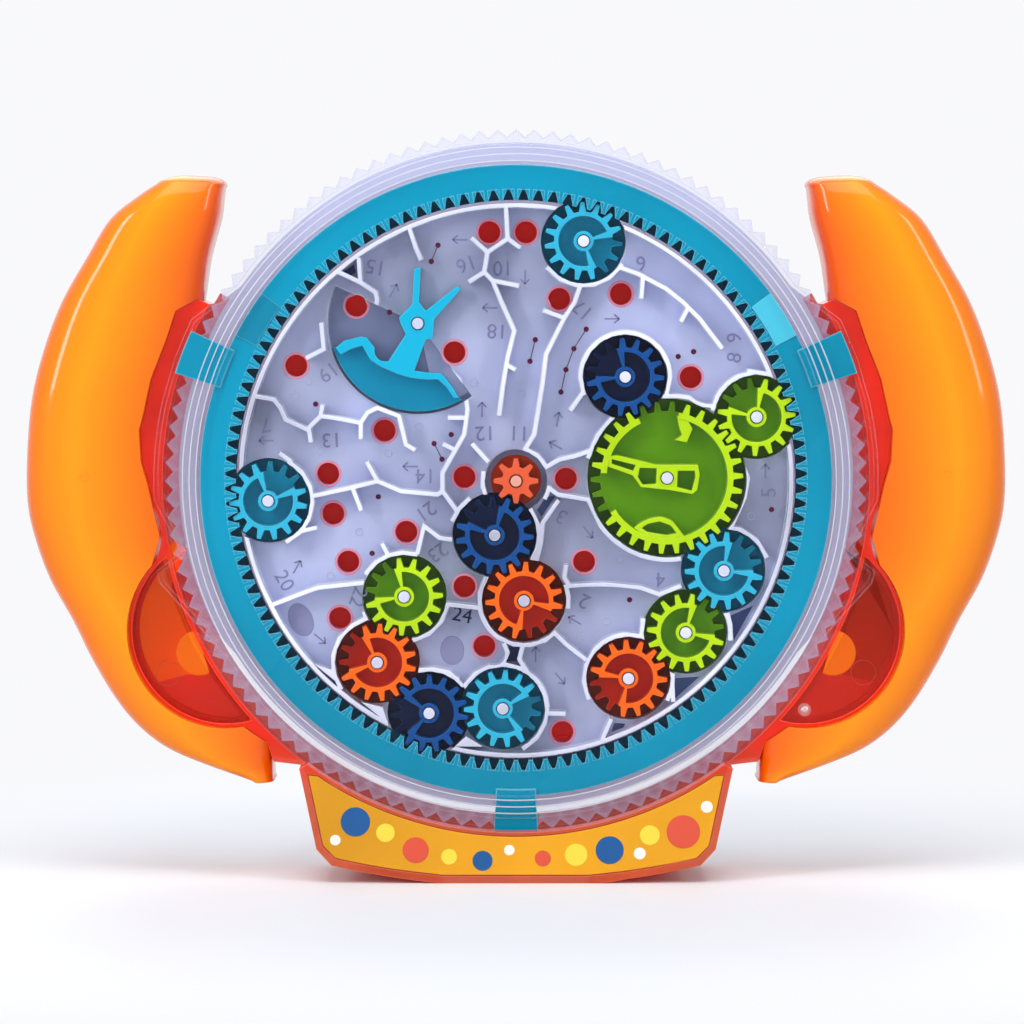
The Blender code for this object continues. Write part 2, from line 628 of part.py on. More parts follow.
board = rod((0, 0), BOARD_RADIUS + OVER, FLOOR_FRONT, BOARD_BACK, 24)
foot = FLOOR_FRONT + 1.0
raised = [prism(stroke(on_board(points), WALL_WIDTH), WALL_FRONT, foot) for points in WALLS]
raised += [arc_wall(GEARS[name][0], well_radius(name), start, end) for name, start, end in WELL_ARCS]
raised += [arc_wall((0, 0), STAR_WELL, start, end) for start, end in STAR_ARCS]
raised += [prism(on_board(points), WALL_FRONT, foot) for points in LANDS]
add(board, *raised)
rim = rod((0, 0), BOARD_RADIUS + OVER, WALL_FRONT, foot, 24)
cut(rim, rod((0, 0), BOARD_RADIUS - BOARD_RIM, WALL_FRONT - OVER, foot + OVER, 60))
add(board, rim)
add(board, *[rod(point, BOSS_RADIUS, BOARD_BACK - 1.0, TRAY_FLOOR - GAP, 8) for point in BOARD_BOSSES])
wells = [rod(GEARS[name][0], well_radius(name), WALL_FRONT - OVER, WELL_FRONT, well_sides(name))
         for name in GEARS]
wells.append(rod((0, 0), STAR_WELL, WALL_FRONT - OVER, WELL_FRONT, 16))
wells.append(swing_space(0.8, WALL_FRONT - OVER, WELL_FRONT))
wells += [rod(point, TRAP_RADIUS, WALL_FRONT - OVER, BOARD_BACK + OVER, 8) for point in on_board(TRAPS)]
wells.append(rod((0, 0), SHAFT_RADIUS + SHAFT_RUN, WALL_FRONT - OVER, BOARD_BACK + OVER, 10))
wells += [rod(point, SCREW_SHANK + SCREW_CLEARANCE, BOARD_BACK - 1.0, TRAY_FLOOR + OVER, 6)
          for point in BOARD_BOSSES]
cut(board, *wells)
combine(board, [rod((0, 0), BOARD_RADIUS, WALL_FRONT - OVER, TRAY_FLOOR, 60)], "INTERSECT")
pins = [rod(GEARS[name][0], PIN_RADIUS, GEAR_FRONT - PIN_PROUD, WELL_FRONT + OVER, 6) for name in GEARS]
pins.append(rod(SWING, PIN_RADIUS, GEAR_FRONT - PIN_PROUD, WELL_FRONT + OVER, 6))
add(board, *pins)
finish(board, "maze_board", LAVENDER, parent=turntable)

# Red tray behind the board, which catches a ball that drops through a trap hole
BORE_TRAY = SHAFT_RADIUS + BUSH_WALL + GAP
tray = rod((0, 0), TRAY_RADIUS, TRAY_FRONT, TRAY_BACK, 36)
tray_cuts = [rod((0, 0), TRAY_RADIUS - TRAY_WALL, TRAY_FRONT - OVER, TRAY_FLOOR, 36)]
tray_cuts.append(rod((0, 0), BORE_TRAY, TRAY_FRONT - OVER, TRAY_BACK + OVER, 16))
tray_cuts += [rod(point, SCREW_SHANK + SCREW_CLEARANCE, TRAY_FRONT, TRAY_BACK + OVER, 6)
              for point in BOARD_BOSSES]
cut(tray, *tray_cuts)
finish(tray, "trap_tray", TRAP_RED, parent=turntable)

# Turning wheel: a knurled rim that the fingers push, a web and a hub
BUSH_OUTER = SHAFT_RADIUS + SHAFT_RUN + BUSH_WALL
WHEEL_BORE = BUSH_OUTER + GAP
HUB_BACK = CRADLE_BACK - 2.0 * GAP - FLANGE_THICK
knurl = []
for i in range(KNURLS):
    middle = 360.0 * i / KNURLS
    knurl.append(polar(WHEEL_TIP, middle))
    knurl.append(polar(WHEEL_ROOT, middle + 180.0 / KNURLS))
wheel = prism(knurl, WHEEL_FRONT, WHEEL_BACK)
wheel_front_cut = rod((0, 0), WHEEL_INNER, WHEEL_FRONT - OVER, WEB_FRONT, 60)
wheel_back_cut = rod((0, 0), WHEEL_INNER, WEB_BACK, WHEEL_BACK + OVER, 60)
cut(wheel_back_cut, rod((0, 0), WHEEL_BORE + HUB_WALL, WEB_BACK - OVER, WHEEL_BACK + 2 * OVER, 20))
cut(wheel, wheel_front_cut, wheel_back_cut)
wheel_holes = [rod((0, 0), WHEEL_BORE, WEB_FRONT - OVER, WHEEL_BACK + OVER, 20)]
wheel_holes.append(rod((0, 0), WHEEL_BORE + HUB_WALL + OVER, HUB_BACK, WHEEL_BACK + OVER, 20))
wheel_holes += [rod(point, SCREW_SHANK + SCREW_CLEARANCE, WEB_FRONT - OVER, WEB_BACK + OVER, 6)
                for point in BOARD_BOSSES]
cut(wheel, *wheel_holes)
finish(wheel, "turning_wheel", CLEAR, parent=turntable)

# Bush pressed in the wheel's hub
bush = rod((0, 0), BUSH_OUTER, WEB_FRONT, HUB_BACK, 20)
cut(bush, rod((0, 0), SHAFT_RADIUS + SHAFT_RUN, WEB_FRONT - OVER, HUB_BACK + OVER, 20))
finish(bush, "hub_bush", WHITE, parent=turntable)


def screw(point, seat, shank_end, head=SCREW_HEAD):
    """A pan head screw driven in from the back, seated at y = seat."""
    body = rod(point, head, seat + GAP, seat + GAP + SCREW_HEAD_THICK, 10)
    return add(body, rod(point, SCREW_SHANK, shank_end, seat + GAP + 0.5, 6))


for number, point in enumerate(BOARD_BOSSES, 1):
    finish(screw(point, WEB_BACK, BOARD_BACK + 1.5), "board_screw_%d" % number, STEEL, parent=turntable)

# Centre shaft, fixed to the rear cover, with a thin tip that holds the star gear
shaft = rod((0, 0), SHAFT_RADIUS, WELL_FRONT - 0.1, HUB_BACK + 1.5, 20)
add(shaft, rod((0, 0), SHAFT_FLANGE, HUB_BACK + GAP, CRADLE_BACK, 24))
add(shaft, rod((0, 0), PIN_RADIUS, GEAR_FRONT - PIN_PROUD, WELL_FRONT + OVER, 12))
finish(shaft, "centre_shaft", WHITE)

# Ring gear, held still by three lugs that reach over the turning wheel to the cradle
LUG_ANGLES = (21.25, 158.75, 270.0)
ring = rod((0, 0), RING_OUTER, RING_FRONT, RING_BACK, 60)
ring_teeth = toothed((0, 0), RING_TEETH, 0.0, RING_ROOT, RING_TIP, RING_TOOTH_BASE, RING_TOOTH_TIP)
cut(ring, prism(ring_teeth, RING_FRONT - OVER, RING_BACK + OVER))
LUG_BACK = COVER_SEAT - GAP
LUG_FRONT = LUG_BACK - LUG_THICK
lugs = []
for angle in LUG_ANGLES:
    half = math.degrees(LUG_WIDTH / 2.0 / LUG_REACH)
    reach = BASE_TOP_RADIUS + 0.9 if angle == 270.0 else LUG_REACH
    lugs.append(wedge((0, 0), RING_OUTER - 2.0, reach, angle - half, angle + half, LUG_FRONT, LUG_BACK, 3))
add(ring, *lugs)
finish(ring, "ring_gear", CYAN)

# Outline of the covers: round, with shoulders over the upper lugs and a wing below them
COVER_RADIUS = CRADLE_RADIUS - 4.0
COVER_SHOULDER = CRADLE_RADIUS + 2.5
COVER_WING = CRADLE_RADIUS + 5.0
COVER_LOW_RADIUS = CRADLE_RADIUS - 4.6
cover_right = arc((0, 0), COVER_LOW_RADIUS, -90, -36, 9)
cover_right += [polar(COVER_LOW_RADIUS, -32), polar(COVER_WING, -16), polar(COVER_WING, -14)]
cover_right += [polar(COVER_RADIUS + 0.6, -12), polar(COVER_SHOULDER, -3), polar(COVER_SHOULDER, 5)]
cover_right += [polar(COVER_SHOULDER, 13), polar(COVER_SHOULDER, 20), polar(COVER_SHOULDER, 26.5)]
cover_right += [polar(COVER_RADIUS, 35)] + arc((0, 0), COVER_RADIUS, 39, 90, 8)
cover_outline = cover_right + mirrored(cover_right, LEFT)[1:-1]
COVER_INNER = COVER_SEAT - COVER_ROOM
COVER_OUTER = COVER_INNER - COVER_WALL
DOME_RADIUS = RING_OUTER - 0.3

# Front cover
cover = prism(cover_outline, COVER_OUTER, COVER_SEAT - GAP)
add(cover, rod((0, 0), DOME_RADIUS, COVER_OUTER - COVER_DOME, COVER_INNER - 0.2, 60))
cut(cover, prism(offset(cover_outline, -COVER_WALL), COVER_INNER, COVER_SEAT + OVER))
notch = LUG_WIDTH / 2.0 + GAP
notch_low = -COVER_LOW_RADIUS - 2.6
notch_high = -COVER_LOW_RADIUS + 2.4
notch_shape = [(-notch, notch_low), (notch, notch_low), (notch, notch_high), (-notch, notch_high)]
cut(cover, prism(notch_shape, COVER_INNER, COVER_SEAT + OVER))
finish(cover, "front_cover", CLEAR)

# Cradle outline on the right, from the base up to the end beside the wheel, outer side first
POCKET = polar(CRADLE_RADIUS + POCKET_REACH - 0.75 * POCKET_RADIUS, POCKET_TURN)
POCKET_SEAT = POCKET_RADIUS + GAP
POCKET_OUTER = POCKET_SEAT + 1.0
BASE_CORNER = on_cradle([(64.8, -85.5)])[0]
UPPER_EDGE = on_cradle([(110, -1), (112, 6), (112.5, 15.5), (111.5, 19),
                        (109, 30.5), (104.5, 42), (101.5, 51)])
cradle_edge = on_cradle([(73.0, -84.5), (75.0, -78.5)])
cradle_edge += arc(POCKET, POCKET_OUTER, -100, 42, 10)
cradle_edge += on_cradle([(106.5, -16.5), (108.5, -8)]) + UPPER_EDGE + on_cradle([(95.0, 54.5)])
cradle_right = [BASE_CORNER] + cradle_edge
CRADLE_END = 30.0


def base_bottom(x):
    rise = (x * x - BASE_FLAT * BASE_FLAT) / (2.0 * BASE_ARC)
    return -AXIS_HEIGHT + max(0.0, rise)


BASE_HALF = BASE_CORNER[0] - 9.6
base_right = [(x, base_bottom(x)) for x in (BASE_FLAT, 0.6 * BASE_HALF, 0.8 * BASE_HALF, BASE_HALF)]
base_right += [(BASE_HALF + 4.5, 10.2 - AXIS_HEIGHT), BASE_CORNER]
base_outline = base_right + [(BASE_CORNER[0] - 4.8, BASE_CORNER[1] + 2.5)]
base_outline = base_outline + mirrored(base_outline, LEFT)
inner_arc = arc((0, 0), CRADLE_RADIUS, CRADLE_END, -180.0 - CRADLE_END, 32)
cradle_outline = base_right + cradle_edge + inner_arc
cradle_outline += mirrored(base_right + cradle_edge, LEFT)
POCKET_DRUM = CRADLE_RADIUS + 1.3


def pocket_outline(radius, drum, side):
    """A circle cut off by the round of the drum."""
    span = math.hypot(*POCKET)
    at_drum = (span * span + radius * radius - drum * drum) / (2.0 * span * radius)
    half = math.degrees(math.acos(at_drum))
    inward = math.degrees(math.atan2(-POCKET[1], -POCKET[0]))
    outline = arc(POCKET, radius, inward + half, inward + 360.0 - half, 20)
    low = outline[-1]
    high = outline[0]
    start = math.degrees(math.atan2(low[1], low[0]))
    end = math.degrees(math.atan2(high[1], high[0]))
    outline += arc((0, 0), drum, start, end, 4)[1:-1]
    return mirrored(outline, side)


HALF_DEPTH = BASE_DEPTH / 2.0
LABEL_HALF = BASE_HALF - 1.2
label_side = [(x, base_bottom(x) + LABEL_MARGIN)
              for x in (BASE_FLAT, 0.6 * LABEL_HALF, 0.8 * LABEL_HALF, LABEL_HALF)]
label_side += [(LABEL_HALF + 3.6, 11.4 - AXIS_HEIGHT), (BASE_CORNER[0] - 2.8, BASE_CORNER[1] - 2.1)]
label_outline = label_side + arc((0, 0), BASE_TOP_RADIUS + LABEL_MARGIN * 0.5, -56.0, -124.0, 14)
label_outline += mirrored(label_side, LEFT)


def cradle_half(front):
    """Front or rear half of the cradle: a tub, open at the split, with half of the base."""
    sign = -1.0 if front else 1.0
    face = sign * abs(COVER_SEAT if front else CRADLE_BACK)
    split = sign * SPLIT
    past_split = -sign * OVER
    body = prism(cradle_outline, face, split)
    block = prism(base_outline, sign * HALF_DEPTH, face - sign * 0.5)
    drum_face = sign * (abs(COVER_INNER) + 1.8)
    cut(block, rod((0, 0), CRADLE_RADIUS, drum_face, past_split, 48))
    cut(block, rod((0, 0), BASE_TOP_RADIUS, sign * (HALF_DEPTH + OVER), drum_face - sign * 0.5, 60))
    add(body, block)
    inside = face - sign * CRADLE_WALL
    pocket_back = POCKET_FLOOR + CRADLE_WALL if front else inside
    for side in (LEFT, RIGHT):
        upper = mirrored(UPPER_EDGE + arc((0, 0), CRADLE_RADIUS, 28.5, 0.0, 6), side)
        cut(body, prism(offset(upper, -CRADLE_WALL), inside, past_split))
        behind = pocket_outline(POCKET_OUTER - CRADLE_WALL, CRADLE_RADIUS + CRADLE_WALL, side)
        cut(body, prism(behind, pocket_back, past_split))
        if front:
            cut(body, prism(pocket_outline(POCKET_SEAT, POCKET_DRUM, side), face - OVER, POCKET_FLOOR))
    base_hollow = prism(offset(base_outline, -BASE_WALL), sign * (HALF_DEPTH - BASE_WALL), past_split)
    round_end = past_split - sign * OVER
    cut(base_hollow, rod((0, 0), CRADLE_RADIUS + BASE_WALL, sign * (HALF_DEPTH + OVER), round_end, 48))
    cut(body, base_hollow)
    if front:
        cut(body, prism(offset(label_outline, GAP), -HALF_DEPTH - OVER, -HALF_DEPTH + LABEL_SUNK))
    return body


# The rear cover has four ears, each with a screw into a post of the cradle
EAR_RADIUS = 3.4
EARS = [polar(CRADLE_RADIUS + 3.0, 12.0), polar(CRADLE_RADIUS + 3.0, -20.0)]
BASE_SCREW = (40, 12 - AXIS_HEIGHT)
HANDLE_SCREWS = on_cradle([(121, 52), (126, -34)])

cradle_front = cradle_half(True)
cradle_rear = cradle_half(False)
ear_points = [(side * x, v) for x, v in EARS for side in (LEFT, RIGHT)]
base_points = [(side * BASE_SCREW[0], BASE_SCREW[1]) for side in (LEFT, RIGHT)]
posts = [rod(point, SCREW_POST, SPLIT, CRADLE_BACK - 0.8, 10) for point in ear_points]
posts += [rod(point, SCREW_BOSS, SPLIT, HALF_DEPTH - 0.8, 12) for point in base_points]
add(cradle_rear, *posts)
sunk_end = HALF_DEPTH + OVER
cut(cradle_rear, *[rod(point, SCREW_HEAD + SCREW_CLEARANCE, HALF_DEPTH - SCREW_SUNK, sunk_end, 14)
                   for point in base_points])
cut(cradle_rear, *[rod(point, SCREW_SHANK + SCREW_CLEARANCE, -OVER, sunk_end, 6)
                   for point in ear_points + base_points])
finish(cradle_front, "cradle_front", RED)
finish(cradle_rear, "cradle_rear", RED)

# Rear cover, the same outline as the front one, with ears, spokes and a hub
REAR_WALL = 2.0
rear_face = CRADLE_BACK + GAP + REAR_WALL
rear = prism(cover_outline, CRADLE_BACK + GAP, rear_face)
add(rear, *[rod(point, EAR_RADIUS, CRADLE_BACK + GAP, rear_face, 12) for point in ear_points])
rib_reach = CRADLE_RADIUS - 18.0
rib_back = rear_face + 1.7
ribs = [wedge((0, 0), 22.0, rib_reach, angle - 1.2, angle + 1.2, CRADLE_BACK + 1.0, rib_back, 2)
        for angle in range(0, 360, 45)]
hub_rib = rod((0, 0), 23.0, CRADLE_BACK + 1.0, rib_back, 20)
add(rear, *ribs, hub_rib)
cut(rear, *[rod(point, SCREW_SHANK + SCREW_CLEARANCE, CRADLE_BACK - OVER, CRADLE_BACK + 6.0, 6)
            for point in ear_points])
finish(rear, "rear_cover", MILKY)

# Ball pockets, the stops in them, and the ball at the lowest place of the right track. The stop
# is drawn from the pocket's middle, in pocket radii.
STOP = [(0.357, -0.046), (0.5, -0.207), (0.5, -0.386), (0.339, -0.468), (0.054, -0.482), (0.143, -0.225)]
for side, word in ((LEFT, "left"), (RIGHT, "right")):
    front = COVER_SEAT
    outline = pocket_outline(POCKET_RADIUS, POCKET_DRUM + GAP, side)
    window = prism(outline, front, POCKET_FLOOR - GAP)
    cut(window, prism(offset(outline, -POCKET_WALL), front + POCKET_WALL, POCKET_FLOOR))
    finish(window, word + "_pocket_window", RED)
    stop_shape = [(POCKET[0] + x * POCKET_RADIUS, POCKET[1] + v * POCKET_RADIUS) for x, v in STOP]
    stop = prism(mirrored(stop_shape, side), front + POCKET_WALL + GAP, POCKET_FLOOR - GAP)
    cut(stop, rod((0, 0), POCKET_DRUM + POCKET_WALL + 2.0 * GAP, COVER_SEAT - OVER, POCKET_FLOOR, 72))
    finish(stop, word + "_pocket_stop", ORANGE)

BALL_TRACK = POCKET_RADIUS - POCKET_WALL - BALL_RADIUS - GAP
ball_mesh = bmesh.new()
bmesh.ops.create_uvsphere(ball_mesh, u_segments=12, v_segments=8, radius=BALL_RADIUS * MM)
ball_height = POCKET[1] - BALL_TRACK + AXIS_HEIGHT
bmesh.ops.translate(ball_mesh, vec=(POCKET[0] * MM, BALL_Y * MM, ball_height * MM), verts=ball_mesh.verts)
ball_data = bpy.data.meshes.new("steel_ball")
ball_mesh.to_mesh(ball_data)
ball_mesh.free()
ball = bpy.data.objects.new("steel_ball", ball_data)
bpy.context.collection.objects.link(ball)
finish(ball, "steel_ball", STEEL, POCKET)

# Handles: two shells each, swept from the horn to the lower end, cut along the cradle's edge.
# Each station has its outer point, its inner point and the handle's half depth there.
HANDLE_HALF = HANDLE_DEPTH / 2.0
STATIONS = [
    ((108.2, 92.6), (92.5, 92.2), 0.62),
    ((113.8, 88.5), (87.8, 87.5), 0.86),
    ((121.9, 78.5), (88.9, 78.5), 0.96),
    ((129.0, 67.0), (92.0, 67.0), 1.0),
    ((136.7, 53.5), (93.8, 55.0), 1.0),
    ((142.2, 39.0), (96.0, 42.0), 1.0),
    ((145.8, 24.5), (100.0, 26.0), 1.0),
    ((147.3, 8.0), (101.5, 10.0), 1.0),
    ((147.3, -6.0), (101.5, -6.0), 1.0),
    ((145.3, -16.5), (100.0, -18.0), 1.0),
    ((140.7, -29.5), (96.0, -29.0), 1.0),
    ((133.6, -42.5), (91.0, -38.0), 1.0),
    ((128.0, -54.0), (86.0, -47.0), 1.0),
    ((120.9, -66.0), (80.0, -56.0), 0.98),
    ((113.8, -74.5), (76.0, -63.0), 0.95),
    ((105.2, -81.0), (73.6, -70.0), 0.9),
    ((93.5, -86.0), (73.4, -79.0), 0.84),
    ((79.8, -90.6), (73.2, -90.0), 0.74),
]
SECTION_POWER = 0.72
SECTION_STEPS = 6
seam = cradle_edge + inner_arc[:1] + on_cradle([(85, 40), (85, -40), (60, -70)]) + [BASE_CORNER]


def handle_form(side, sign, inset, stations, start):
    """Half of a handle: a half superellipse at each station, between its outer and inner points."""
    mesh_data = bmesh.new()
    sections = []
    for outer, inner, depth in stations:
        outer, inner = [Vector(point) for point in on_cradle([outer, inner])]
        middle = (outer + inner) / 2.0
        reach = (outer - inner) / 2.0
        reach = reach * max(0.1, (reach.length - inset) / reach.length)
        tall = depth * HANDLE_HALF - inset
        section = []
        for i in range(SECTION_STEPS + 1):
            turn = math.pi * i / SECTION_STEPS
            across = math.copysign(abs(math.cos(turn)) ** SECTION_POWER, math.cos(turn))
            high = abs(math.sin(turn)) ** SECTION_POWER if 0 < i < SECTION_STEPS else 0.0
            point = middle + reach * across
            y = start + (sign * tall - start) * high
            place = (side * point.x * MM, y * MM, (point.y + AXIS_HEIGHT) * MM)
            section.append(mesh_data.verts.new(place))
        sections.append(section)
    for first, second in zip(sections, sections[1:]):
        for i in range(len(first)):
            j = (i + 1) % len(first)
            mesh_data.faces.new((first[i], first[j], second[j], second[i]))
    mesh_data.faces.new(sections[0])
    mesh_data.faces.new(sections[-1][::-1])
    bmesh.ops.recalc_face_normals(mesh_data, faces=mesh_data.faces)
    mesh = bpy.data.meshes.new("handle")
    mesh_data.to_mesh(mesh)
    mesh_data.free()
    thing = bpy.data.objects.new("handle", mesh)
    bpy.context.collection.objects.link(thing)
    return thing


def handle_shell(side, front):
    sign = -1.0 if front else 1.0
    shell = handle_form(side, sign, 0.0, STATIONS, sign * SPLIT)
    cut(shell, prism(mirrored(offset(seam, GAP), side), -HANDLE_HALF - OVER, HANDLE_HALF + OVER))
    hollow = handle_form(side, sign, HANDLE_WALL, STATIONS[1:-1:2], -sign * OVER)
    cut(hollow, prism(mirrored(offset(seam, GAP + HANDLE_WALL), side), -HANDLE_HALF, HANDLE_HALF))
    cut(shell, hollow)
    points = [(side * x, v) for x, v in HANDLE_SCREWS]
    if not front:
        add(shell, *[rod(point, SCREW_BOSS, SPLIT, HANDLE_HALF - 1.2, 12) for point in points])
        cut(shell, *[rod(point, SCREW_HEAD + SCREW_CLEARANCE, HANDLE_HALF - 4.0, HANDLE_HALF + OVER, 14)
                     for point in points])
        cut(shell, *[rod(point, SCREW_SHANK + SCREW_CLEARANCE, -OVER, HANDLE_HALF, 8) for point in points])
    return shell


for side, word in ((LEFT, "left"), (RIGHT, "right")):
    finish(handle_shell(side, True), word + "_handle_front", ORANGE)
    finish(handle_shell(side, False), word + "_handle_rear", ORANGE)

handle_points = [(side * x, v) for x, v in HANDLE_SCREWS for side in (LEFT, RIGHT)]
for number, point in enumerate(handle_points, 1):
    finish(screw(point, HANDLE_HALF - 4.0, SPLIT), "handle_screw_%d" % number, STEEL)
for number, point in enumerate(ear_points, 1):
    finish(screw(point, rear_face, SPLIT), "cover_screw_%d" % number, STEEL)
for number, point in enumerate(base_points, 1):
    finish(screw(point, HALF_DEPTH - SCREW_SUNK, SPLIT), "base_screw_%d" % number, STEEL)

# Label panel, set in a shallow recess in the front of the base
label_back = -HALF_DEPTH + LABEL_SUNK - GAP
finish(prism(label_outline, label_back - LABEL_THICK, label_back), "label_panel", LABEL)
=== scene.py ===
"""Looks of the gear maze puzzle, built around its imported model, which stays as it is.

Lengths in the code are millimetres, except in the studio and the shaders, where they are
metres, as in the meshes. The front of the toy faces -Y. Points (x, v) are measured from the
disc's centre, with v upwards.
"""
import json
import math

import bmesh
import bpy
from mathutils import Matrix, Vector
from mathutils.bvhtree import BVHTree


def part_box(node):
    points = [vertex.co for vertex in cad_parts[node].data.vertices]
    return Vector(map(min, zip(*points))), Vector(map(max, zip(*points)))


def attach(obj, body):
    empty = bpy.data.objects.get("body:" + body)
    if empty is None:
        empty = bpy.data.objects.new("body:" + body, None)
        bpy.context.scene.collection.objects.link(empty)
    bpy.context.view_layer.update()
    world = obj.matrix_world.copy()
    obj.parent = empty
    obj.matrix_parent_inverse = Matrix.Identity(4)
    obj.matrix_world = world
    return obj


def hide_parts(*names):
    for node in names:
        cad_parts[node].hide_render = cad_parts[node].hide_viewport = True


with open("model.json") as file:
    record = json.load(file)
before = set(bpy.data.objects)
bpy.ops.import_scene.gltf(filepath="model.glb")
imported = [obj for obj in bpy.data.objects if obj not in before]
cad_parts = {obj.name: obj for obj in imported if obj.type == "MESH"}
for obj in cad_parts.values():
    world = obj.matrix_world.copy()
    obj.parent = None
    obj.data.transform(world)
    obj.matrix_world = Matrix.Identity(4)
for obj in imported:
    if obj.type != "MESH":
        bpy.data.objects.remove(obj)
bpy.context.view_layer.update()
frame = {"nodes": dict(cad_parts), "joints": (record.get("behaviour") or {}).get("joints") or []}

# ---- Studio ----
# A pale floor that fades into a white surround, lit by a large soft lamp above, a tall narrow one
# at each side and one behind. The camera looks at the front from a little above the toy's middle.
MM = 0.001


def colour(code):
    """An sRGB hex code as the linear numbers that a shader takes."""
    parts = [int(code[i:i + 2], 16) / 255.0 for i in (0, 2, 4)]
    linear = [part / 12.92 if part <= 0.04045 else ((part + 0.055) / 1.055) ** 2.4 for part in parts]
    return (*linear, 1.0)


def new_material(name):
    """A material with an empty node tree and its output."""
    material = bpy.data.materials.new(name)
    material.use_nodes = True
    material.node_tree.nodes.clear()
    return material, material.node_tree.nodes.new("ShaderNodeOutputMaterial")


def placed(name, data):
    """An object of a mesh, curve, lamp or camera, put in the scene."""
    thing = bpy.data.objects.new(name, data)
    bpy.context.scene.collection.objects.link(thing)
    return thing


def fill(node, values):
    """Set a node's sockets, each by its name or number."""
    for socket, value in values.items():
        node.inputs[socket].default_value = value
    return node


def maths(tree, operation, second=0.5):
    """A math node with its second number."""
    node = tree.nodes.new("ShaderNodeMath")
    node.operation = operation
    return fill(node, {1: second})


def wire(tree, rows):
    """Join nodes: each row is a node, its output, the node that it feeds and that one's input."""
    for start, output, end, into in rows:
        tree.links.new(start.outputs[output], end.inputs[into])


def background_rays(tree):
    """A node that gives 1 to the rays that show the background: the camera's, gloss and glass."""
    path = tree.nodes.new("ShaderNodeLightPath")
    gloss = maths(tree, "MAXIMUM")
    glass = maths(tree, "MAXIMUM")
    wire(tree, [(path, "Is Camera Ray", gloss, 0), (path, "Is Glossy Ray", gloss, 1),
                (gloss, "Value", glass, 0), (path, "Is Transmission Ray", glass, 1)])
    return glass


FLOOR_HALF_WIDTH = 4.0
FADE_START = 0.16
FADE_END = 0.34
studio_mesh = bpy.data.meshes.new("studio_floor")
studio_corners = [(-1, -1), (1, -1), (1, 1), (-1, 1)]
studio_points = [(x * FLOOR_HALF_WIDTH, y * FLOOR_HALF_WIDTH, 0.0) for x, y in studio_corners]
studio_mesh.from_pydata(studio_points, [], [(0, 1, 2, 3)])
placed("studio_floor", studio_mesh)

SURROUND_CODE = "f9f9fb"
floor_material, floor_output = new_material("studio_floor")
floor_tree = floor_material.node_tree
floor_shader = fill(floor_tree.nodes.new("ShaderNodeBsdfPrincipled"),
                    {"Base Color": colour("e4e8ee"), "Roughness": 0.55})
floor_place = floor_tree.nodes.new("ShaderNodeNewGeometry")
floor_reach = floor_tree.nodes.new("ShaderNodeVectorMath")
floor_reach.operation = "LENGTH"
floor_fade = fill(floor_tree.nodes.new("ShaderNodeMapRange"),
                  {"From Min": FADE_START, "From Max": FADE_END})
floor_fade.interpolation_type = "SMOOTHSTEP"
far_glow = fill(floor_tree.nodes.new("ShaderNodeEmission"), {"Color": colour(SURROUND_CODE)})
far_share = maths(floor_tree, "MULTIPLY")
floor_or_far = floor_tree.nodes.new("ShaderNodeMixShader")
wire(floor_tree, [
    (floor_place, "Position", floor_reach, 0), (floor_reach, "Value", floor_fade, "Value"),
    (floor_fade, "Result", far_share, 0), (background_rays(floor_tree), "Value", far_share, 1),
    (far_share, "Value", floor_or_far, "Fac"), (floor_shader, "BSDF", floor_or_far, 1),
    (far_glow, "Emission", floor_or_far, 2), (floor_or_far, "Shader", floor_output, "Surface"),
])
studio_mesh.materials.append(floor_material)

WORLD_STRENGTH = 0.34
studio_world = bpy.data.worlds.new("studio")
studio_world.use_nodes = True
world_tree = studio_world.node_tree
world_light = fill(world_tree.nodes["Background"],
                   {"Color": colour("f6f8fb"), "Strength": WORLD_STRENGTH})
world_seen = fill(world_tree.nodes.new("ShaderNodeBackground"), {"Color": colour(SURROUND_CODE)})
world_mix = world_tree.nodes.new("ShaderNodeMixShader")
wire(world_tree, [
    (background_rays(world_tree), "Value", world_mix, "Fac"), (world_light, "Background", world_mix, 1),
    (world_seen, "Background", world_mix, 2),
    (world_mix, "Shader", world_tree.nodes["World Output"], "Surface"),
])
bpy.context.scene.world = studio_world
bpy.context.scene.view_settings.view_transform = "Standard"

LAMP_AIM = Vector((0.0, 0.0, 0.1))
LAMPS = {
    "top_softbox": ((0.0, -0.45, 1.25), (1.0, 1.0), 10.0),
    "left_softbox": ((-1.1, -0.95, 0.75), (0.26, 1.0), 12.0),
    "right_softbox": ((1.05, -0.8, 0.7), (0.22, 0.9), 6.0),
    "back_softbox": ((0.0, 0.9, 1.0), (0.9, 0.9), 5.0),
}
for lamp_name, (place, size, power) in LAMPS.items():
    lamp_data = bpy.data.lights.new(lamp_name, "AREA")
    lamp_data.shape = "RECTANGLE"
    lamp_data.size, lamp_data.size_y = size
    lamp_data.energy = power
    lamp = placed(lamp_name, lamp_data)
    lamp.location = place
    lamp.rotation_euler = (LAMP_AIM - Vector(place)).to_track_quat("-Z", "Y").to_euler()

VIEW_WIDTH = 0.3072
VIEW_DISTANCE = 1.3
VIEW_RISE = math.radians(3.0)
SENSOR_WIDTH = 36.0
view_aim = Vector((-0.0012, -0.012, 0.1107))
camera_data = bpy.data.cameras.new("camera")
camera_data.sensor_width = SENSOR_WIDTH
camera_data.lens = SENSOR_WIDTH * VIEW_DISTANCE / VIEW_WIDTH
camera = placed("camera", camera_data)
camera.location = view_aim + VIEW_DISTANCE * Vector((0.0, -math.cos(VIEW_RISE), math.sin(VIEW_RISE)))
camera.rotation_euler = (view_aim - camera.location).to_track_quat("-Z", "Y").to_euler()
bpy.context.scene.camera = camera

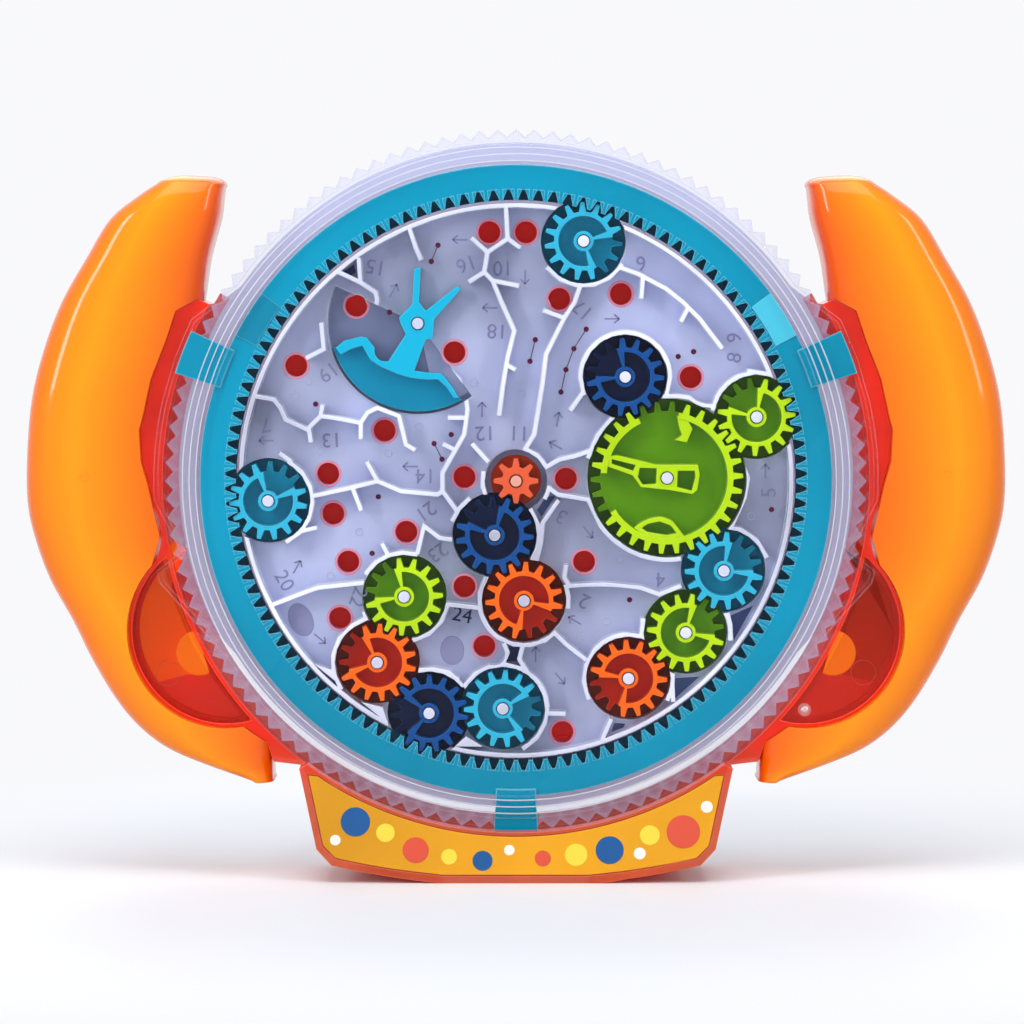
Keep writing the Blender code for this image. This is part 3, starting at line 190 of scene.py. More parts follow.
# ---- Trap tray ----
# An opaque red moulded dish behind the board, which shows as the red dots through the
# board's trap holes. The functions that ease its edges and give it a skin serve all that follows.
AXIS_HEIGHT = 120.0
EDGE_BEGINS = 0.995
EDGE_FULL = 0.86
GRAIN_SCALE = 1600.0
GRAIN_HEIGHT = 0.00005
GRAIN_DETAIL = 2.0
TONE_DETAIL = 3.0
EASE_SAMPLES = 4
ROUGH_CHANGE = 0.2
SKIN_INPUTS = {
    "Tone Scale": 38.0, "Colour": (0.5, 0.5, 0.5, 1.0), "Recess Shade Colour": (0.5, 0.5, 0.5, 1.0),
    "Front": -0.0136, "Depth": 0.0082, "Edge Highlight Colour": (0.8, 0.8, 0.8, 1.0), "Edge Highlight Strength": 0.5,
    "Edge Width": 0.0004, "Tone Change": 0.06, "Roughness": 0.3, "Grain Depth": 0.02,
}
SKIN_OUTPUTS = {"Colour": "NodeSocketColor", "Roughness": "NodeSocketFloat", "Normal": "NodeSocketVector"}


def moulded_skin_group():
    """Moulded plastic: painted shade deeper in, slow changes of tone, a painted highlight on eased edges,
    a grain.
    """
    group = bpy.data.node_groups.new("moulded_skin", "ShaderNodeTree")
    for name, value in SKIN_INPUTS.items():
        kind = "NodeSocketColor" if isinstance(value, tuple) else "NodeSocketFloat"
        group.interface.new_socket(name=name, in_out="INPUT", socket_type=kind).default_value = value
    for name, kind in SKIN_OUTPUTS.items():
        group.interface.new_socket(name=name, in_out="OUTPUT", socket_type=kind)
    start = group.nodes.new("NodeGroupInput")
    end = group.nodes.new("NodeGroupOutput")
    tree = group.nodes
    place = tree.new("ShaderNodeTexCoord")
    slow = fill(tree.new("ShaderNodeTexNoise"), {"Detail": TONE_DETAIL})
    centred = maths(group, "SUBTRACT", 0.5)
    amount = maths(group, "MULTIPLY")
    lighter = maths(group, "ADD", 1.0)
    split = tree.new("ShaderNodeSeparateXYZ")
    behind = maths(group, "SUBTRACT")
    recess_share = maths(group, "DIVIDE")
    recess_share.use_clamp = True
    recess_shaded = tree.new("ShaderNodeMix")
    recess_shaded.data_type = "RGBA"
    toned = tree.new("ShaderNodeVectorMath")
    toned.operation = "SCALE"
    eased = tree.new("ShaderNodeBevel")
    eased.samples = EASE_SAMPLES
    true_normal = tree.new("ShaderNodeNewGeometry")
    facing = tree.new("ShaderNodeVectorMath")
    facing.operation = "DOT_PRODUCT"
    edge = fill(tree.new("ShaderNodeMapRange"), {"From Min": EDGE_BEGINS, "From Max": EDGE_FULL})
    edge_highlight_amount = maths(group, "MULTIPLY")
    coloured = tree.new("ShaderNodeMix")
    coloured.data_type = "RGBA"
    fine = fill(tree.new("ShaderNodeTexNoise"), {"Scale": GRAIN_SCALE, "Detail": GRAIN_DETAIL})
    bump = fill(tree.new("ShaderNodeBump"), {"Distance": GRAIN_HEIGHT})
    rough_change = maths(group, "MULTIPLY_ADD", ROUGH_CHANGE)
    wire(group, [
        (start, "Tone Scale", slow, "Scale"), (place, "Object", slow, "Vector"),
        (slow, "Fac", centred, 0), (centred, "Value", amount, 0),
        (start, "Tone Change", amount, 1), (amount, "Value", lighter, 0),
        (start, "Colour", recess_shaded, "A"), (start, "Recess Shade Colour", recess_shaded, "B"),
        (place, "Object", split, "Vector"), (split, "Y", behind, 0), (start, "Front", behind, 1),
        (behind, "Value", recess_share, 0), (start, "Depth", recess_share, 1), (recess_share, "Value", recess_shaded, "Factor"),
        (recess_shaded, "Result", toned, 0), (lighter, "Value", toned, "Scale"),
        (start, "Edge Width", eased, "Radius"), (eased, "Normal", facing, 0),
        (true_normal, "Normal", facing, 1), (facing, "Value", edge, "Value"),
        (edge, "Result", edge_highlight_amount, 0), (start, "Edge Highlight Strength", edge_highlight_amount, 1),
        (edge_highlight_amount, "Value", coloured, "Factor"), (toned, "Vector", coloured, "A"),
        (start, "Edge Highlight Colour", coloured, "B"), (place, "Object", fine, "Vector"),
        (fine, "Fac", bump, "Height"), (start, "Grain Depth", bump, "Strength"),
        (eased, "Normal", bump, "Normal"),
        (centred, "Value", rough_change, 0), (start, "Roughness", rough_change, 2),
        (coloured, "Result", end, "Colour"), (rough_change, "Value", end, "Roughness"),
        (bump, "Normal", end, "Normal"),
    ])
    return group


MOULDED_SKIN = moulded_skin_group()


def skinned(name, values):
    """A material whose shader takes its colour, roughness and normal from the moulded skin."""
    material, output = new_material(name)
    tree = material.node_tree
    skin = tree.nodes.new("ShaderNodeGroup")
    skin.node_tree = MOULDED_SKIN
    fill(skin, values)
    shader = tree.nodes.new("ShaderNodeBsdfPrincipled")
    wire(tree, [(skin, "Colour", shader, "Base Color"), (skin, "Roughness", shader, "Roughness"),
                (skin, "Normal", shader, "Normal"), (shader, "BSDF", output, "Surface")])
    return material, shader, skin


COAT_ROUGHNESS = 0.06


def moulded(name, code, edge_highlight_code, roughness=0.3, edge_highlight_strength=0.5, coat=0.0, edge_width=0.0004,
            recess_shade_code=None, front=-13.6, depth=8.2, tone=0.08, tone_scale=38.0, glow=0.0, shine=0.14):
    """Opaque moulded plastic. From the front inwards its colour turns to the recess shade colour, a
    painted shade. Its paler eased edges are a painted highlight, and its glow is a painted glow.
    """
    material, shader, skin = skinned(name, {
        "Colour": colour(code), "Edge Highlight Colour": colour(edge_highlight_code),
        "Recess Shade Colour": colour(recess_shade_code or code), "Front": front * MM, "Depth": depth * MM,
        "Tone Change": tone, "Tone Scale": tone_scale,
        "Edge Highlight Strength": edge_highlight_strength, "Edge Width": edge_width, "Roughness": roughness,
    })
    fill(shader, {"Specular IOR Level": shine, "Emission Color": colour(recess_shade_code or code),
                  "Emission Strength": glow, "Coat Weight": coat, "Coat Roughness": COAT_ROUGHNESS})
    return material


STRAIGHT = 1e-12
FLAT_FACE = 0.999
WALL_FACE = 0.5
LEAST_CHORD = 0.9
CHORD_MATCH = 0.03
LEAST_TURN = 1.0
MOST_TURN = 62.0
TURN_STEP = 3.0
STEP_LENGTH = 2.5
MOST_STEPS = 8
SAME_PLACE = 0.01
MERGE_DISTANCE = 0.002
LEVEL_ANGLE = math.radians(0.5)
SHARP_ANGLE = math.radians(35.0)


def circle_of(before, here, after):
    """Centre and radius of the circle through three points in the (x, z) plane, or None."""
    ax, az, bx, bz, cx, cz = before.x, before.z, here.x, here.z, after.x, after.z
    double = 2.0 * (ax * (bz - cz) + bx * (cz - az) + cx * (az - bz))
    if abs(double) < STRAIGHT:
        return None
    a2, b2, c2 = ax * ax + az * az, bx * bx + bz * bz, cx * cx + cz * cz
    x = (a2 * (bz - cz) + b2 * (cz - az) + c2 * (az - bz)) / double
    z = (a2 * (cx - bx) + b2 * (ax - cx) + c2 * (bx - ax)) / double
    return (x, z, math.hypot(bx - x, bz - z))


def find_arcs(work):
    """Edges that are chords of a round outline on a flat front or back face, with their circles."""
    arcs = {}
    for face in work.faces:
        if abs(face.normal.y) < FLAT_FACE:
            continue
        loops = list(face.loops)
        count = len(loops)
        for i in range(count):
            first = loops[i]
            second = loops[(i + 1) % count]
            before = first.vert.co
            here = second.vert.co
            after = loops[(i + 2) % count].vert.co
            one = here - before
            two = after - here
            if min(one.length, two.length) < LEAST_CHORD * MM:
                continue
            if abs(one.length - two.length) > CHORD_MATCH * one.length:
                continue
            turn = math.degrees(one.angle(two))
            if not LEAST_TURN < turn < MOST_TURN:
                continue
            circle = circle_of(before, here, after)
            if circle is not None:
                arcs.setdefault(first.edge, circle)
                arcs.setdefault(second.edge, circle)
    return arcs


def edge_across(face, edge):
    """The edge of a wall that lies behind or before the given one, or None."""
    ends = {(round(v.co.x, 6), round(v.co.z, 6)) for v in edge.verts}
    for other in face.edges:
        if other is not edge:
            if {(round(v.co.x, 6), round(v.co.z, 6)) for v in other.verts} == ends:
                return other
    return None


def round_arcs(work):
    """Cut each chord into short ones on its circle, and the walls between them into strips."""
    arcs = find_arcs(work)
    walls = []
    for edge, circle in list(arcs.items()):
        for face in edge.link_faces:
            if abs(face.normal.y) < WALL_FACE:
                other = edge_across(face, edge)
                if other is not None:
                    arcs.setdefault(other, circle)
                    walls.append((edge, other))
    chains = {}
    for edge, (x, z, radius) in arcs.items():
        start, end = edge.verts
        middle = Vector((x, 0.0, z))
        from_turn = math.atan2(start.co.z - z, start.co.x - x)
        to_turn = math.atan2(end.co.z - z, end.co.x - x)
        swing = (to_turn - from_turn + math.pi) % (2.0 * math.pi) - math.pi
        by_turn = round(abs(math.degrees(swing)) / TURN_STEP)
        by_length = math.ceil(edge.calc_length() / (STEP_LENGTH * MM))
        pieces = min(MOST_STEPS, max(1, by_turn, by_length))
        chain = [start]
        rest = edge
        for k in range(1, pieces):
            angle = from_turn + swing * k / pieces
            share = 1.0 / (pieces - k + 1)
            rest, corner = bmesh.utils.edge_split(rest, chain[-1], share)
            y = chain[-1].co.y + (end.co.y - chain[-1].co.y) * share
            corner.co = middle + Vector((radius * math.cos(angle), y, radius * math.sin(angle)))
            chain.append(corner)
            rest = next(e for e in corner.link_edges if e.other_vert(corner) is end)
        chain.append(end)
        chains[edge] = chain
    done = set()
    for edge, other in walls:
        near = chains[edge]
        far = chains[other]
        pair = frozenset(id(corner) for corner in (near[0], far[0], near[-1], far[-1]))
        if pair in done:
            continue
        done.add(pair)
        if len(near) != len(far):
            continue
        if (near[0].co - far[0].co).xz.length > SAME_PLACE * MM:
            far = far[::-1]
        for a, b in zip(near[1:-1], far[1:-1]):
            shared = [face for face in a.link_faces if face in set(b.link_faces)]
            if shared:
                bmesh.utils.face_split(shared[0], a, b)


def dressed(node, material, body, ease=0.0, finer=True):
    """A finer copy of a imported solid, which stands for it: its arcs rounder and its edges eased."""
    work = bmesh.new()
    work.from_mesh(frame["nodes"][node].data)
    bmesh.ops.remove_doubles(work, verts=work.verts, dist=MERGE_DISTANCE * MM)
    bmesh.ops.dissolve_limit(work, angle_limit=LEVEL_ANGLE, verts=work.verts, edges=work.edges)
    work.normal_update()
    if finer:
        round_arcs(work)
    mesh = bpy.data.meshes.new(node + "_skin")
    work.verts.index_update()
    points = [vert.co.copy() for vert in work.verts]
    faces = [[vert.index for vert in face.verts] for face in work.faces]
    work.free()
    mesh.from_pydata(points, [], faces)
    mesh.shade_smooth()
    mesh.set_sharp_from_angle(angle=SHARP_ANGLE)
    mesh.materials.append(material)
    piece = placed(node + "_skin", mesh)
    if ease > 0.0:
        bevel = piece.modifiers.new("ease", "BEVEL")
        bevel.width = ease * MM
        bevel.segments = 2
        bevel.limit_method = "ANGLE"
        bevel.angle_limit = SHARP_ANGLE
        bevel.use_clamp_overlap = True
        bevel.harden_normals = True
    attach(piece, body)
    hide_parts(node)
    return piece


# The tray's glow is a painted glow, and its paler edges are a painted highlight.
tray_plastic = moulded("tray_red", "cc1208", "e03020", roughness=0.3, glow=0.35)
dressed("trap_tray", tray_plastic, "turntable")

# ---- Turning wheel ----
# Clear hard plastic, moulded in one with its knurled rim, web and hub, and turned by the fingers.
# Edge-on its walls look milky, so it is less see-through there than face-on.
CLEAR_COAT_ROUGHNESS = 0.04
TURNED_BLEND = 0.3
FOOT_LOW = 26.0
FOOT_HIGH = 42.0


def see_through(name, code, face_alpha, edge_alpha, roughness=0.08, coat=1.0, tone=0.06,
                edge_highlight_code=None, edge_highlight_strength=0.0, glow=0.0, foot_glow_code=None, shine=0.5):
    """Clear or tinted plastic: thin face-on, denser where the surface turns away or has an edge.

    With a foot glow colour, it turns to that one in its lowest part, as a painted glow of light shining
    through there.
    """
    material, shader, skin = skinned(name, {
        "Colour": colour(code), "Recess Shade Colour": colour(code), "Edge Highlight Colour": colour(edge_highlight_code or code),
        "Edge Highlight Strength": edge_highlight_strength, "Tone Change": tone, "Roughness": roughness, "Grain Depth": 0.0,
    })
    # Its glow is a painted glow, and its paler edges are a painted highlight.
    fill(shader, {"Specular IOR Level": shine, "Emission Color": colour(code), "Emission Strength": glow,
                  "Coat Weight": coat, "Coat Roughness": CLEAR_COAT_ROUGHNESS})
    tree = material.node_tree
    turned = fill(tree.nodes.new("ShaderNodeLayerWeight"), {"Blend": TURNED_BLEND})
    dense = fill(tree.nodes.new("ShaderNodeMapRange"), {"To Min": face_alpha, "To Max": edge_alpha})
    wire(tree, [(turned, "Facing", dense, "Value"), (dense, "Result", shader, "Alpha")])
    if foot_glow_code:
        place = tree.nodes.new("ShaderNodeTexCoord")
        split = tree.nodes.new("ShaderNodeSeparateXYZ")
        rise = fill(tree.nodes.new("ShaderNodeMapRange"),
                    {"From Min": FOOT_LOW * MM, "From Max": FOOT_HIGH * MM})
        mixed = tree.nodes.new("ShaderNodeMix")
        mixed.data_type = "RGBA"
        fill(mixed, {"A": colour(foot_glow_code), "B": colour(code)})
        wire(tree, [(place, "Object", split, "Vector"), (split, "Z", rise, "Value"),
                    (rise, "Result", mixed, "Factor"), (mixed, "Result", skin, "Colour"),
                    (mixed, "Result", skin, "Recess Shade Colour")])
    return material


# Its glow is a painted glow of light through the plastic, and its paler edges are a painted highlight.
wheel_plastic = see_through("wheel_clear", "c4c8ea", 0.2, 0.42, roughness=0.25, coat=0.0,
                            edge_highlight_code="dadef6", edge_highlight_strength=0.35, glow=0.16)
dressed("turning_wheel", wheel_plastic, "turntable")

# ---- Hub bush and screws ----
# The bush is a white moulded sleeve pressed in the wheel's hub. The screws are plated steel.
bush_plastic = moulded("bush_white", "dfe4ee", "ffffff", roughness=0.35)
dressed("hub_bush", bush_plastic, "turntable")


def plated_steel(name, code, glow=0.0):
    """Bright plated steel with a fine grain."""
    material, shader, _ = skinned(name, {
        "Colour": colour(code), "Recess Shade Colour": colour(code), "Edge Highlight Colour": colour("f0f2f6"),
        "Edge Width": 0.0002, "Roughness": 0.2,
    })
    # Its paler edges are a painted highlight, and its glow, where given, is a painted glow.
    fill(shader, {"Metallic": 1.0, "Emission Color": colour(code), "Emission Strength": glow})
    return material


steel = plated_steel("plated_steel", "b9bcc4")
for number in range(1, 5):
    dressed("board_screw_%d" % number, steel, "turntable")
    dressed("cover_screw_%d" % number, steel, "frame")
    dressed("handle_screw_%d" % number, steel, "frame")
for number in range(1, 3):
    dressed("base_screw_%d" % number, steel, "frame")

# ---- Maze board ----
# One lavender moulding with walls, gear wells, trap holes and the posts that the gears turn on.
# Its numbers, arrows and dots stand a hair proud of the floor, as thin plates sunk into it.
BOARD_FLOOR = -8.0
WELL_FLOOR = -5.4
SUNK = 0.1
PHOTO_MIDDLE = (516.0, 481.0)
PHOTO_SCALE = 0.3
# Its floor and wells darken to painted shade, and its wall edges take a painted highlight.
board_plastic = moulded("board_lavender", "dcdff6", "f2f4ff", roughness=0.3, edge_highlight_strength=0.85,
                        edge_width=0.0006, recess_shade_code="7a83aa", tone=2.2, tone_scale=15.0, shine=0.5)
dressed("maze_board", board_plastic, "turntable")


def flat_blocks(name, outlines, front, back):
    """A mesh of closed flat blocks, each cut to its outline and reaching from front to back."""
    work = bmesh.new()
    for outline in outlines:
        lower = [work.verts.new((x * MM, back * MM, (v + AXIS_HEIGHT) * MM)) for x, v in outline]
        upper = [work.verts.new((x * MM, front * MM, (v + AXIS_HEIGHT) * MM)) for x, v in outline]
        work.faces.new(upper)
        work.faces.new(lower[::-1])
        for i in range(len(outline)):
            j = (i + 1) % len(outline)
            work.faces.new((upper[j], upper[i], lower[i], lower[j]))
    bmesh.ops.recalc_face_normals(work, faces=work.faces)
    mesh = bpy.data.meshes.new(name)
    work.to_mesh(mesh)
    work.free()
    return mesh


def plates(name, outlines, front, back, material, body):
    """Flat pieces of one material, which ride on a body."""
    mesh = flat_blocks(name, outlines, front, back)
    mesh.materials.append(material)
    piece = placed(name, mesh)
    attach(piece, body)
    return piece


def around(centre, radius, start=0.0, end=360.0, steps=48):
    """Points on a circle, or on a part of one with both its ends."""
    count = steps if end - start == 360.0 else steps + 1
    turns = [math.radians(start + (end - start) * i / steps) for i in range(count)]
    return [(centre[0] + radius * math.cos(turn), centre[1] + radius * math.sin(turn)) for turn in turns]


def washer(centre, inner, outer, start=0.0, end=359.0, steps=48):
    """Outline of a flat ring, slit so that it is one closed line."""
    return around(centre, outer, start, end, steps) + around(centre, inner, start, end, steps)[::-1]


def on_face(x, y):
    """Where a place in the photograph lies on the board, in millimetres from its middle."""
    return ((x - PHOTO_MIDDLE[0]) * PHOTO_SCALE, (PHOTO_MIDDLE[1] - y) * PHOTO_SCALE)


def on_board(name, outlines, rise, material, floor=BOARD_FLOOR):
    """Plates of one colour, which stand a hair proud of the board's floor or of a well's."""
    plates(name, outlines, floor - rise, floor + SUNK, material, "turntable")


LOW_TRAP_HOLE = (-48, 52.5)
TRAP_HOLES = [(-8, 74.5), (3, 74.5), (13, 54.5), (31.5, 56), (52.5, 31), (-66, 34.5),
              (-39.5, 15), (-56.5, 2), (-18.5, 38.5), (-15.5, 1), (15, 0.5), (-55, -10), (-50.5, -24.5),
              (-53, -41.5), (-33, -15.5), (-15.5, -32), (20.5, -24.5), (-9.5, -50), (14, -76)]
TRAP_RIM = (3.31, 4.05)
RIM_RISE = 0.06
glow_pink = moulded("trap_glow", "e08fa6", "e9a8bb", roughness=0.35, edge_highlight_strength=0.0)
on_board("trap_glow", [washer(hole, *TRAP_RIM) for hole in TRAP_HOLES], RIM_RISE, glow_pink)
on_board("trap_glow_low", [washer(LOW_TRAP_HOLE, *TRAP_RIM)], RIM_RISE, glow_pink, WELL_FLOOR)

PITS = [
    [(731, 617), (754, 607), (735, 641)], [(676, 680), (700, 678.5), (674, 702)],
    [(615, 725), (626, 726), (624, 729.5), (612, 734)],
    [(509.5, 645), (521, 646), (518, 663), (506, 662.6)],
    [(546, 498), (556, 496), (541.6, 517), (537, 510.5)],
    [(342.6, 272.6), (354, 264.7), (356, 272.6), (350, 276)],
]
PIT_RISE = 0.08
pit_shade = moulded("pit_shade", "47557e", "5e6c96", roughness=0.5, edge_highlight_strength=0.0)
on_board("board_pits", [[on_face(x, y) for x, y in pit] for pit in PITS], PIT_RISE, pit_shade)
DISHES = [((300, 621), 3.6, 5.2, 25.0), ((452, 652), 3.6, 4.4, 0.0)]
DISH_RISE = 0.07


def oval(centre, wide, tall, lean):
    """Outline of an upright oval, turned by lean degrees."""
    turn = math.radians(lean)
    ring = [(wide * x, tall * v) for x, v in around((0.0, 0.0), 1.0)]
    return [(centre[0] + x * math.cos(turn) - v * math.sin(turn),
             centre[1] + x * math.sin(turn) + v * math.cos(turn)) for x, v in ring]


dish_shade = moulded("dish_shade", "8f90b3", "a9aaca", roughness=0.5)
on_board("board_dishes", [oval(on_face(*place), wide, tall, lean) for place, wide, tall, lean in DISHES],
         DISH_RISE, dish_shade)

DOT_CHAINS = [
    [(438, 245.6), (431.3, 261.8)], [(389.5, 312.6)],
    [(586.3, 329.5), (573.9, 349), (566, 370), (561, 392.4)],
    [(678.4, 356.8)], [(693.7, 352)], [(535.3, 340), (530, 361.6)], [(451, 435)],
    [(433.9, 444), (441.8, 459.7)],
    [(315.3, 404.4)], [(377.9, 497.4)], [(371.6, 554.2)], [(630, 601)], [(772.3, 510.2)],
]
DOT_RADIUS = 0.8
DOT_RISE = 0.1
LINK_WIDTH = 0.3
LINK_RISE = 0.07


def bar(start, end, width):
    """Outline of a straight bar between two points."""
    run = Vector((end[0] - start[0], end[1] - start[1])).normalized() * width / 2.0
    side = Vector((-run.y, run.x))
    return [(start[0] - side.x, start[1] - side.y), (end[0] - side.x, end[1] - side.y),
            (end[0] + side.x, end[1] + side.y), (start[0] + side.x, start[1] + side.y)]


dot_marks = []
link_marks = []
for chain in DOT_CHAINS:
    points = [on_face(*place) for place in chain]
    dot_marks += [around(point, DOT_RADIUS, steps=16) for point in points]
    link_marks += [bar(first, second, LINK_WIDTH) for first, second in zip(points, points[1:])]
dot_maroon = moulded("dot_maroon", "5d1838", "7a2a4a", roughness=0.4, edge_highlight_strength=0.0)
link_grey = moulded("link_grey", "7a5c72", "8a6c82", roughness=0.4, edge_highlight_strength=0.0)
on_board("board_dots", dot_marks, DOT_RISE, dot_maroon)
on_board("board_links", link_marks, LINK_RISE, link_grey)

PIN_MARKS = [
    (308, 382), (294, 396), (474, 383), (419, 427), (388, 454), (320, 452), (359, 533), (522, 394),
    (580, 433), (752, 517), (607, 623), (581, 638), (330, 577), (641, 232), (430, 330), (700, 420),
    (620, 560),
]
PIN_RIM = (0.95, 1.2)
pin_plastic = moulded("pin_marks", "bcc1de", "c8cce6", roughness=0.35, edge_highlight_strength=0.0)
on_board("board_pin_marks", [washer(on_face(x, y), *PIN_RIM, steps=20) for x, y in PIN_MARKS],
         RIM_RISE, pin_plastic)

NUMBERS = [
    ("15", 376, 267, 170), ("16", 466, 264, 200), ("10", 503, 268, 180), ("6", 641, 263, 190),
    ("18", 497, 331, 178), ("17", 583, 310, 140), ("12", 485, 433, 182), ("11", 519, 433, 178),
    ("8", 735, 358, 80), ("5", 770, 493, 90), ("7", 265, 425, 190), ("13", 331, 440, 182),
    ("19", 328, 372, 215), ("14", 425, 476, 180), ("20", 283, 582, 300), ("21", 425, 512, 215),
    ("23", 437, 553, 215), ("22", 357, 598, 250), ("3", 562, 517, 150), ("4", 661, 580, 180),
    ("2", 585, 602, 150), ("9", 735, 338, 90),
]
ARROWS = [
    (460, 240, 180), (393, 291, 60), (490, 308, 180), (482, 410, 90), (410, 467, 180), (766, 472, 90),
    (588, 533, -50), (575, 622, 150), (536, 656, 90), (560, 680, -50), (612, 319, 0), (525, 277, -90),
    (319, 640, -40), (558, 420, 80), (556, 446, 150), (266, 441, 180), (296, 568, 60),
]
NUMBER_SIZE = 6.16
NUMBER_HALF_DEPTH = 0.06
NUMBER_RISE = 0.05
ARROW_HALF = 2.2
ARROW_HEAD = (1.5, 1.3)
ARROW_WIDTH = 0.45
ARROW_RISE = 0.11
mark_plastic = moulded("board_marks", "8a8ab2", "a2a2c8", roughness=0.4, edge_highlight_strength=0.3)
ink = moulded("number_ink", "22304f", "2a3a5c", roughness=0.4, edge_highlight_strength=0.0)


def number_mark(word, place, lean, material):
    """A moulded number, which stands proud of the board's floor and is turned by lean degrees."""
    curve = bpy.data.curves.new("number_" + word, "FONT")
    curve.body = word
    curve.size = NUMBER_SIZE * MM
    curve.extrude = NUMBER_HALF_DEPTH * MM
    curve.align_x = "CENTER"
    curve.align_y = "CENTER"
    curve.resolution_u = 6
    curve.materials.append(material)
    piece = placed("number_" + word, curve)
    x, v = on_face(*place)
    piece.location = (x * MM, (BOARD_FLOOR - NUMBER_RISE) * MM, (v + AXIS_HEIGHT) * MM)
    piece.rotation_euler = (math.radians(90.0), math.radians(-lean), 0.0)
    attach(piece, "turntable")


for word, x, y, lean in NUMBERS:
    number_mark(word, (x, y), lean, mark_plastic)
number_mark("24", (462, 617), -12, ink)
arrow_marks = []
for x, y, lean in ARROWS:
    middle = Vector(on_face(x, y))
    along = Vector((math.cos(math.radians(lean)), math.sin(math.radians(lean))))
    aside = Vector((-along.y, along.x)) * ARROW_HEAD[1]
    tip = middle + along * ARROW_HALF
    shoulder = tip - along * ARROW_HEAD[0]
    arrow_marks.append(bar(middle - along * ARROW_HALF, tip, ARROW_WIDTH))
    arrow_marks.append(bar(tip, shoulder + aside, ARROW_WIDTH))
    arrow_marks.append(bar(tip, shoulder - aside, ARROW_WIDTH))
on_board("board_arrows", arrow_marks, ARROW_RISE, mark_plastic)

# ---- Gears ----
# Each is a satin moulding with an open gate, dropped on its post. Four colours are used.
# A dark disc on each well's floor, tinted like its gear, is painted shadow; each is a hair higher than
# the last one, as some of the wells meet.
WELL_RADIUS = 12.6
BIG_WELL_RADIUS = 23.7
STAR_WELL_RADIUS = 7.7
WELL_RISE = 0.08
WELL_STEP = 0.008
WELL_SHADOW_CODES = {"teal": "0a5f78", "lime": "3d6208", "navy": "0a1c3e", "orange": "6a200e"}
WELL_SHADOWS = {word: moulded("well_" + word, code, code, roughness=0.4, edge_highlight_strength=0.0, glow=0.1)
              for word, code in WELL_SHADOW_CODES.items()}
well_rise = WELL_RISE
for joint in frame["joints"]:
    gear = joint["child"]
    if joint["name"].endswith("_spin") and gear != "turntable":
        word = next(word for word in WELL_SHADOW_CODES if word in gear)
        x, _, z = joint["pos_m"]
        middle = (x / MM, z / MM - AXIS_HEIGHT)
        radius = BIG_WELL_RADIUS if gear == "big_lime" else WELL_RADIUS
        well_rise += WELL_STEP
        plates("well_" + gear, [around(middle, radius)], WELL_FLOOR - well_rise, WELL_FLOOR + SUNK,
               WELL_SHADOWS[word], "turntable")
# The disc in the star's well is painted shadow too, tinted like the star.
star_well_shadow = moulded("well_star", "b8340f", "b8340f", roughness=0.4, edge_highlight_strength=0.0, glow=0.1)
plates("well_star", [around((0.0, 0.0), STAR_WELL_RADIUS)], WELL_FLOOR - WELL_RISE, WELL_FLOOR + SUNK,
       star_well_shadow, "turntable")
GEAR_SHADE_SPAN = {"front": -12.2, "depth": 3.6}
# Each gear's lower floor turns to painted shade, its edges take a painted highlight, and its glow is a
# painted glow.
GEAR_COLOURS = {
    "teal": moulded("gear_teal", "30b4d6", "86e0f4", recess_shade_code="057e9c", glow=0.12, **GEAR_SHADE_SPAN),
    "lime": moulded("gear_lime", "bbe010", "e2f95a", recess_shade_code="568c00", glow=0.1, tone=0.5,
                    tone_scale=30.0, **GEAR_SHADE_SPAN),
    "navy": moulded("gear_navy", "0d4c92", "3c86cc", recess_shade_code="03153c", glow=0.15, **GEAR_SHADE_SPAN),
    "orange": moulded("gear_orange", "fa6a10", "ffa45e", recess_shade_code="ae1c02", glow=0.12, **GEAR_SHADE_SPAN),
}
for node in frame["nodes"]:
    if node.startswith("gear_"):
        shade = next(word for word in GEAR_COLOURS if word in node)
        dressed(node, GEAR_COLOURS[shade], node.replace("gear_", "", 1), ease=0.25)
# The star gear's lower floor also turns to painted shade.
star_orange = moulded("star_orange", "e8603a", "ffa080", recess_shade_code="a82410", **GEAR_SHADE_SPAN)
dressed("star_gear", star_orange, "frame", ease=0.2)

# ---- Swinging gate ----
# A cyan moulding with two horns and a weight, which hangs on its own post.
SWING_PIN = (-29.4, 47.2)
SWING_REACH = (5.0, 25.5)
SWING_TURNS = (282.0, 306.0)
SWING_RISE = 0.2
# A pale plate on the well floor beside the gate is painted light, which lifts the shade there.
swing_light = moulded("swing_light_patch", "b2b6d8", "b2b6d8", roughness=0.4, edge_highlight_strength=0.0, glow=0.12)
on_board("swing_light_patch", [washer(SWING_PIN, *SWING_REACH, *SWING_TURNS, 12)], SWING_RISE, swing_light,
         WELL_FLOOR)
# The gate's deeper parts turn to painted shade, its edges take a painted highlight, and its glow is a
# painted glow.
gate_cyan = moulded("gate_cyan", "12b4d8", "7fe4f6", recess_shade_code="01688a", front=-12.0, depth=3.6,
                    edge_highlight_strength=0.7, glow=0.12)
dressed("swing_gate", gate_cyan, "gate", ease=0.25)

# ---- Ring gear ----
# A cyan moulding with teeth inside and three lugs that hold it still.
# Its deeper parts turn to painted shade, and its edges take a painted highlight.
ring_cyan = moulded("ring_cyan", "0092b4", "9deaf7", roughness=0.28, edge_highlight_strength=0.8, edge_width=0.0005,
                    recess_shade_code="04506a", front=-12.0, depth=6.0, tone=1.1, tone_scale=11.0, shine=0.12)
dressed("ring_gear", ring_cyan, "frame")
FULL_TURN = (0.0, 359.9)
